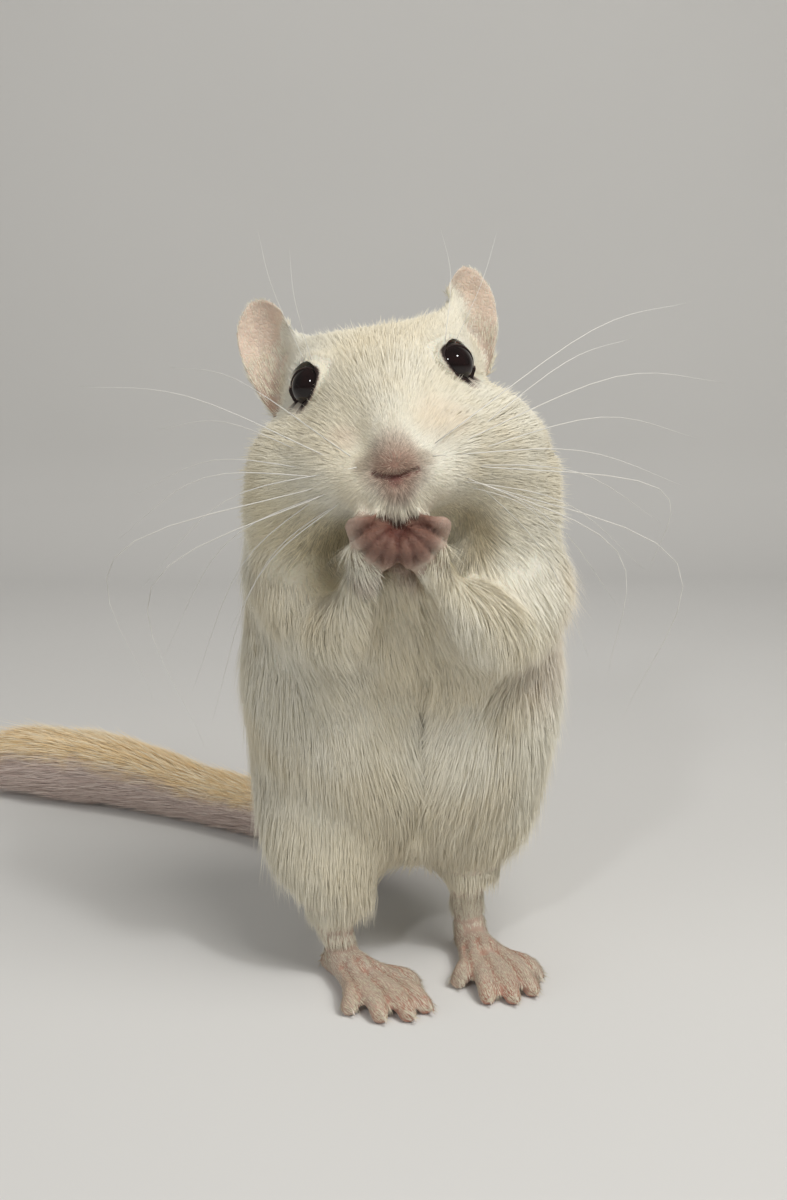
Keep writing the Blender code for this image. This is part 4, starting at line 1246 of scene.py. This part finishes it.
# The most of each colour, painted shade among them, and the distances between which it ends, in mm unless
# noted
bareMarksAndShade = dict(
    toeTips=(0.9, 0.78, 0.95),       # starts between these shares of the foot's length
    # the toe tips' colour laid in the gaps between the toes is painted shade
    toeGaps=(0.55, 0.25, 0.8),
    handRim=(0.8, 3.8, 6.2),         # starts between these distances from the hands' centre
    inner=(1.0, 2.2, 5.4),
    mouth=(0.8, 0.7, 1.1),           # as shares of the hollow's radius
    # the hands' wrinkles, folds and centre take the darkest colour as painted shade
    wrinkles=(0.45, 0.10, 0.40), folds=(1.0, 0.12, 0.60),
    foldShares=(0.20, 0.70),         # at the hands' rim, and how much more at their centre
    centre=(0.9, 0.3, 1.2),          # as shares of the centre's radius
    ears=(1.0, 4.0, 11.0),
    lids=(1.0, 1.0, 6.0),            # degrees beyond the lids' edge
    nose=(0.85, 1.6, 3.6), smile=(1.0, 0.35, 0.75),
    notch=(0.75, 0.4, 1.2),          # as shares of its width
    mouthTop=70.6, shins=0.85, wrists=0.08, lidsFar=5.2, lidCorners=(3.0, 8),
)


def bareFields():  # how bare each point of the skin is, and which colour it has there
    points, kinds = hair["points"], hair["kinds"]
    bare = np.maximum(ofKind(kinds, *fineNodes) * 1.0, ofKind(kinds, "shank") * bareMarksAndShade["shins"])
    bare[wristAt(points, kinds)] = bareMarksAndShade["wrists"]
    bare = Neighbours(skin.data).relaxed(bare, 6)
    colours = np.tile(np.array(bareColours["foot"]), (len(points), 1))
    for kind in ("ear", "hand"):
        colours[ofKind(kinds, kind)] = bareColours[kind]

    def lay(share, name):
        nonlocal bare, colours
        colours = colours + (np.array(bareColours[name]) - colours) * share[:, None]
        bare = np.maximum(bare, share)

    for side in sides:
        heel, ahead, _ = footWays(side)
        onToes = ofKind(kinds, "foot") & (hair["nodeSides"] == sides[side])
        most, low, high = bareMarksAndShade["toeTips"]
        lay(most * smoothStep(low, high, (points - heel) @ ahead / footShape["long"]) * onToes, "toeTip")
        # painted shade in the gaps between the toes
        lay(fall(bareMarksAndShade["toeGaps"], nearToeGaps(points, side)) * onToes, "toeTip")
    onHands = ofKind(kinds, "hand")
    (x, y, z), reach = handShape["centre"]
    middle = np.linalg.norm((points - (x + handShape["midline"], y, z)) * (1, 0.3, 1), axis=1)
    most, low, high = bareMarksAndShade["handRim"]
    lay(most * smoothStep(low, high, middle) * onHands, "handRim")
    inner = fall(bareMarksAndShade["inner"], middle) * onHands
    # the mouth's dark opening, with painted shade under the lip
    underLip = ~onHands & (points[:, 2] < bareMarksAndShade["mouthTop"])
    lay(fall(bareMarksAndShade["mouth"], fromMouth(points)) * underLip, "line")
    # painted shade in the hands' wrinkles, folds and centre
    lay(fall(bareMarksAndShade["wrinkles"], nearHandLines(points, "wrinkles")) * inner, "creaseShade")
    least, more = bareMarksAndShade["foldShares"]
    lay(fall(bareMarksAndShade["folds"], nearHandLines(points, "folds")) * onHands * (least + more * inner), "creaseShade")
    lay(fall(bareMarksAndShade["centre"], middle / reach), "creaseShade")
    for root in earRoots.values():
        deep = fall(bareMarksAndShade["ears"], farFrom(points, fromHead(root)))
        lay(hair["hollow"] * deep * ofKind(kinds, "ear"), "earDeep")
    for side, away, far, turn in aroundEyes(points):
        along = np.abs(away @ slitOf(side)[0]) / np.maximum(far, 1e-6)
        most, power = bareMarksAndShade["lidCorners"]
        beyond = turn - eyeShape["opening"] - most * along ** power
        lay(fall(bareMarksAndShade["lids"], beyond) * (far < bareMarksAndShade["lidsFar"]), "lid")
    lay(fall(bareMarksAndShade["nose"], fromNose(points)), "nose")
    lay(fall(bareMarksAndShade["smile"], nearLine(points, faceShape["smile"])), "line")
    lay(fall(bareMarksAndShade["notch"], fromNotch(points)), "line")
    return bare, colours


def skinColour(tree, place):
    mottle = ranged(tree, noiseOf(tree, place, 700.0, 4.0, 0.6), 0.3, 0.7, 0.86, 1.12, smooth=False)
    bare = scaled(tree, attributeOf(tree, "tint", "Color"), mottle)
    # under the coat the skin has the coat's colour a little darker, as painted shade of the fur over it
    return mixColours(tree, attributeOf(tree, "bare"), scaled(tree, coatColour(tree, place), 0.93), bare)


def skinMaterial():
    material, tree, shader, place = newMaterial(
        "livingSkin", skinColour, Roughness=0.5, Specular_IOR_Level=0.4,
        Subsurface_Weight=0.25, Subsurface_Scale=0.0012, Subsurface_Radius=(1.0, 0.6, 0.45),
    )
    fine = noiseOf(tree, place, 2600.0, 5.0, 0.65)
    cells = wire(tree, "ShaderNodeTexVoronoi", {"Vector": place, "Scale": 1500.0}, feature="DISTANCE_TO_EDGE")
    folds = ranged(tree, cells.outputs["Distance"], 0.0, 0.3)
    height = plus(tree, times(tree, fine, 0.6), times(tree, folds, 0.5))
    bump = wire(tree, "ShaderNodeBump", {"Height": height, "Strength": 0.5, "Distance": 0.00018})
    tree.links.new(bump.outputs["Normal"], shader.inputs["Normal"])
    return material


bare, tints = bareFields()
mesh = skin.data
setAttribute(mesh, "bare", bare)
setAttribute(mesh, "upward", hair["normals"][:, 2])
tint = mesh.attributes.new("tint", "FLOAT_COLOR", "POINT")
tint.data.foreach_set("color", np.hstack((tints, np.ones((len(tints), 1)))).astype(np.float32).ravel())
mesh.materials.clear()
mesh.materials.append(skinMaterial())
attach(skin, "root")
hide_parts(*fleshNodes)
print("Skin finished")

# Coat
creamCoat, goldenCoat = (
    newMaterial(name, hairColour, Roughness=0.62, Specular_IOR_Level=0.35)[0]
    for name in ("creamCoat", "goldenCoat")
)


def kindMask(*names):
    return ofKind(triangleKinds, *names)


# Where the crown starts, in mm behind the eyes, and the sides, in degrees round the torso's middle
coatParts = dict(crown=0.5, sides=62, middle=(-0.4, 4.0))


def coatPieces():
    onTorso, onHead = kindMask("torso"), kindMask("head")
    x, y = coatParts["middle"]
    around = np.degrees(np.arctan2(middles[:, 0] - x, y - middles[:, 1]))
    onCrown = toHead(middles)[:, 1] >= coatParts["crown"]
    return (
        ("coatMuzzle", kindMask("muzzle"), unwrapHead),
        ("coatFace", onHead & ~onCrown, unwrapHead),
        ("coatCrown", onHead & onCrown, unwrapHead),
        ("coatNeck", kindMask("neck"), unwrapBody),
        ("coatBelly", onTorso & (np.abs(around) < coatParts["sides"]), unwrapBody),
        ("coatLeftSide", onTorso & (around >= coatParts["sides"]), unwrapBody),
        ("coatRightSide", onTorso & (around <= -coatParts["sides"]), unwrapBody),
        ("coatArms", kindMask("upper_arm", "forearm"), unwrapPair),
        ("coatHaunches", kindMask("thigh"), unwrapPair),
        ("coatFeet", kindMask("shank", "foot", "hand"), unwrapPair),
        ("coatEars", kindMask("ear"), unwrapPair),
        ("coatTail", kindMask("tail"), unwrapTail),
    )


def growCoats():
    total = 0
    for k, (name, mask, unwrap) in enumerate(coatPieces()):
        rng = np.random.default_rng(coatSeed + k)
        tufts = sow(mask, rng, 1.0)
        count = len(tufts["points"])
        if count > mostTufts:
            keep = np.sort(rng.permutation(count)[:mostTufts])
            tufts = {key: values[keep] for key, values in tufts.items()}
        uv = unwrap(tufts["points"], tufts["sides"])
        onTail = name == "coatTail"
        piece = makeTufts(name, tufts, uv, rng, goldenCoat if onTail else creamCoat)
        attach(piece, "root")
        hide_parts(*(("tail_tuft",) if onTail else ()))
        total += len(piece.data.polygons)
        print(f"  {name}: {count} tufts wanted, {len(piece.data.polygons)} triangles")
    print("Coat grown:", total, "triangles")


growCoats()


# Eyes
eyeLooks = dict(dark=(0.007, 0.004, 0.004), light=(0.014, 0.006, 0.006), bulge=0.05)


def makeEyes():
    radius = eyeShape["radius"] * mm
    colour = cloudColour(900.0, 0.3, 0.7, eyeLooks["dark"], eyeLooks["light"])
    material = newMaterial("darkEye", colour, Roughness=0.05, Specular_IOR_Level=0.4)[0]
    for side in sides:
        bpy.ops.mesh.primitive_uv_sphere_add(segments=64, ring_count=40, radius=radius)
        eye = bpy.context.active_object
        eye.name = "eye" + side.title()
        for vertex in eye.data.vertices:
            vertex.co *= 1 + eyeLooks["bulge"] * max(0.0, vertex.co.z / radius) ** 6
        along, across = slitOf(side)
        turned = Matrix((along, across, eyeAxis(side))).transposed().to_4x4()
        stretch = Matrix.Diagonal((eyeShape["stretch"], 1.0, 1.0, 1.0))
        eye.data.transform(Matrix.Translation(Vector(toRow(eyeMiddles[side]))) @ turned @ stretch)
        bpy.ops.object.shade_smooth()
        eye.data.materials.append(material)
        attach(eye, "root")
        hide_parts("eye_" + side)
    print("Eyes made")


makeEyes()

# Whiskers and brow hairs: roots in the head's frame, tips in the pose's frame
whiskerShape = dict(
    radius=0.088, browRadius=0.0528,
    root=(0.80, 0.78, 0.72), tip=(0.92, 0.91, 0.88),
    bows=dict(left=(0.05, 0.09), right=(0.05, 0.09), brows=(0.05, 0.04), drooping=(0.30, 0.10)),
    left=(
        ((5.8, -14.6, -9.6), (40.0, -4.0, 97.0)), ((6.6, -14.0, -10.8), (45.0, -6.0, 86.0)),
        ((7.4, -13.4, -12.0), (42.0, -3.0, 78.0)), ((6.4, -14.4, -12.6), (37.0, -6.0, 66.0)),
        ((7.6, -12.8, -13.6), (31.0, -5.0, 54.0)), ((6.0, -14.0, -14.4), (34.0, -9.0, 60.0)),
        ((8.2, -12.2, -11.0), (33.0, 2.0, 92.0)), ((8.4, -11.6, -13.2), (27.0, -7.0, 46.0)),
        ((5.2, -15.0, -11.2), (39.0, -12.0, 72.0)), ((7.0, -12.0, -15.2), (25.0, -11.0, 58.0)),
    ),
    right=(
        ((-5.8, -14.6, -9.6), (-33.0, -2.0, 88.0)), ((-6.6, -14.0, -10.8), (-45.0, -7.0, 85.5)),
        ((-7.4, -13.4, -12.0), (-38.0, -4.0, 70.0)), ((-6.4, -14.4, -12.6), (-40.0, -8.0, 64.0)),
        ((-7.6, -12.8, -13.6), (-34.0, -7.0, 47.0)), ((-6.0, -14.0, -14.4), (-27.0, -9.0, 38.0)),
        ((-8.2, -12.2, -11.0), (-35.0, 1.0, 79.0)), ((-8.4, -11.6, -13.2), (-30.0, -6.0, 42.0)),
        ((-5.2, -15.0, -11.2), (-36.0, -11.0, 58.0)), ((-7.0, -12.0, -15.2), (-24.0, -12.0, 52.0)),
    ),
    brows=(
        ((-10.6, -2.0, 3.4), (-19.6, -8.0, 107.0)), ((-9.6, -3.0, 3.6), (-15.0, -12.0, 104.0)),
        ((9.4, -2.6, 3.4), (5.0, -9.0, 107.0)), ((10.8, -2.0, 3.0), (12.5, -12.0, 106.0)),
    ),
    drooping=(
        ((-6.8, -13.2, -13.4), (-27.3, -12.0, 35.0)), ((-7.2, -12.6, -12.8), (-34.5, -10.0, 41.0)),
        ((6.8, -13.2, -13.4), (28.5, -12.0, 45.5)), ((7.2, -12.6, -12.8), (34.0, -10.0, 59.5)),
        ((7.4, -12.2, -14.2), (31.0, -8.0, 38.0)),
    ),
)


def hairTube(start, end, bow, radius, steps=12, around=3):  # a tapered hair or horn that bows
    line = spread([start, (start + end) / 2 + bow, end], steps + 1)
    way = unit(np.gradient(line, axis=0))
    side = unit(np.cross(way, (0.0, 0.0, 1.0)))
    up = np.cross(side, way)
    thick = radius * (1 - np.linspace(0, 1, steps + 1)[:-1, None] ** 1.6 * 0.85)
    rings = []
    for angle in np.arange(around) * 2 * math.pi / around:
        rings.append(line[:-1] + thick * (side[:-1] * math.cos(angle) + up[:-1] * math.sin(angle)))
    places = np.vstack((np.stack(rings, 1).reshape(-1, 3), line[-1:]))
    faces = [(0, k, k + 1) for k in range(1, around - 1)]
    for ring in range(steps - 1):
        for k in range(around):
            a, b = ring * around + k, ring * around + (k + 1) % around
            faces += [(a, a + around, b), (b, a + around, b + around)]
    last = (steps - 1) * around
    faces += [(last + k, len(places) - 1, last + (k + 1) % around) for k in range(around)]
    return places, np.array(faces)


def joinTubes(tubes):  # equal tubes as one: places, faces, and the share of the way along each tube
    count = len(tubes[0][0])
    places = np.concatenate([places for places, _ in tubes])
    faces = np.concatenate([corners + k * count for k, (_, corners) in enumerate(tubes)])
    return places, faces, dict(along=np.tile(np.linspace(0, 1, count), len(tubes)))


def makeWhiskers():
    rng = np.random.default_rng(5)
    tubes = []
    for key, (outward, sag) in whiskerShape["bows"].items():
        radius = whiskerShape["browRadius" if key == "brows" else "radius"]
        for root, tip in whiskerShape[key]:
            start, end = fromHead(root), np.array(tip)
            start = start + unit(fromHead((0, 0, -9)) - start) * 1.2   # so that each is rooted in the skin
            reach = np.linalg.norm(end - start)
            bow = np.array((outward * np.sign(end[0]), -0.02, sag)) * reach * rng.uniform(0.8, 1.3)
            tubes.append(hairTube(start, end, bow, radius))
    colour = alongColour(whiskerShape["root"], whiskerShape["tip"])
    material = newMaterial("whiskerHair", colour, Roughness=0.35, Specular_IOR_Level=0.5)[0]
    piece = meshFrom("whiskers", *joinTubes(tubes), material)
    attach(piece, "root")
    print("Whiskers made:", len(piece.data.polygons), "triangles")


makeWhiskers()

# Claws: one short curved horn on each toe
clawShape = dict(
    start=-2.2, end=0.35,           # mm from the toe's tip
    high=1.7, low=0.55, bow=0.45,
    radius=0.33,
    root=(0.62, 0.48, 0.40), tip=(0.76, 0.68, 0.60),
)


def makeClaws():
    tubes = []
    for side in sides:
        heel, ahead, across = footWays(side)
        for reach, splay in footShape["toes"]:
            far = reach * footShape["long"]
            start = heel + ahead * (far + clawShape["start"]) + across * splay
            end = heel + ahead * (far + clawShape["end"]) + across * splay * 1.05
            start[2], end[2] = clawShape["high"], clawShape["low"]
            bow = np.array((0.0, 0.0, clawShape["bow"]))
            tubes.append(hairTube(start, end, bow, clawShape["radius"], steps=8, around=8))
    colour = alongColour(clawShape["root"], clawShape["tip"])
    material = newMaterial("clawHorn", colour, Roughness=0.3, Specular_IOR_Level=0.5)[0]
    piece = meshFrom("claws", *joinTubes(tubes), material)
    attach(piece, "root")
    print("Claws made:", len(piece.data.polygons), "triangles")


makeClaws()

# Studio
studio = dict(
    floorColour=(0.71, 0.705, 0.69),
    wallAway=1.55, floorHalf=1.8, wallHigh=1.8, bend=1.2,
    world=(1.0, 0.975, 0.93), worldStrength=0.21,
)
# Only the two glints are mirrored, so that the eyes keep two small lights
lights = dict(
    key=dict(place=(185, -230, 440), size=0.34, power=1.44, colour=(1.0, 0.975, 0.93)),
    fill=dict(place=(-380, -280, 160), size=0.40, power=0.20, colour=(1.0, 0.985, 0.96)),
    rim=dict(place=(-60, 330, 330), size=0.50, power=0.45, colour=(1.0, 0.98, 0.95)),
    glintHigh=dict(place=(166.7, -225, 351), size=0.045, power=0.30, aim=(0, -15, 88)),
    glintLow=dict(place=(-93.3, -330, 247), size=0.032, power=0.15, aim=(0, -15, 88)),
)


def makeFloor():
    half = studio["floorHalf"]
    x, y, _ = toRow((0, 0, 0))
    middle = (x, y + studio["wallAway"] - half, 0)
    bpy.ops.mesh.primitive_plane_add(size=2 * half, location=middle)
    floor = bpy.context.active_object
    floor.name = "floor"
    bpy.ops.object.transform_apply(location=True)
    shape = bmesh.new()
    shape.from_mesh(floor.data)
    shape.edges.ensure_lookup_table()
    edge = max(shape.edges, key=lambda item: item.verts[0].co.y + item.verts[1].co.y)
    raised = bmesh.ops.extrude_edge_only(shape, edges=[edge])["geom"]
    for vertex in raised:
        if isinstance(vertex, bmesh.types.BMVert):
            vertex.co.z += studio["wallHigh"]
    bmesh.ops.bevel(shape, geom=[edge], offset=studio["bend"], segments=48, affect="EDGES")
    shape.to_mesh(floor.data)
    shape.free()
    activate(floor)
    bpy.ops.object.shade_smooth()
    pale = np.array(studio["floorColour"])
    colour = cloudColour(6.0, 0.2, 0.8, pale * 0.98, pale * 1.02)
    floor.data.materials.append(newMaterial("paleFloor", colour, Roughness=0.85, Specular_IOR_Level=0.2)[0])


def addLight(name, place, size, power, colour=(1, 1, 1), aim=(0, 0, 60)):
    place, aim = Vector(toRow(place)), Vector(toRow(aim))
    bpy.ops.object.light_add(type="AREA", location=place)
    light = bpy.context.active_object
    light.name = name
    light.rotation_euler = (aim - place).to_track_quat("-Z", "Y").to_euler()
    light.data.shape = "DISK"
    light.data.size = size
    light.data.energy = power
    light.data.color = colour
    light.visible_glossy = name.startswith("glint")


def makeLights():
    for name, settings in lights.items():
        addLight(name, **settings)
    world = bpy.data.worlds.new("studioAir")
    bpy.context.scene.world = world
    world.use_nodes = True
    air = world.node_tree.nodes["Background"]
    air.inputs["Color"].default_value = (*studio["world"], 1)
    air.inputs["Strength"].default_value = studio["worldStrength"]


photoCamera = dict(place=(-1.2, -230.0, 95.0), down=10.0, lens=48.3)


def makeCamera():
    bpy.ops.object.camera_add(
        location=toRow(photoCamera["place"]), rotation=(math.radians(90 - photoCamera["down"]), 0, 0)
    )
    camera = bpy.context.active_object
    camera.data.lens = photoCamera["lens"]
    camera.data.sensor_width = 36
    camera.data.sensor_fit = "AUTO"
    camera.data.clip_start = 0.01
    camera.data.clip_end = 20
    bpy.context.scene.camera = camera


makeFloor()
makeLights()
makeCamera()
bpy.context.scene.view_settings.view_transform = "Standard"
bpy.context.scene.cycles.max_bounces = 8
bpy.context.scene.cycles.diffuse_bounces = 5
print("Studio ready")
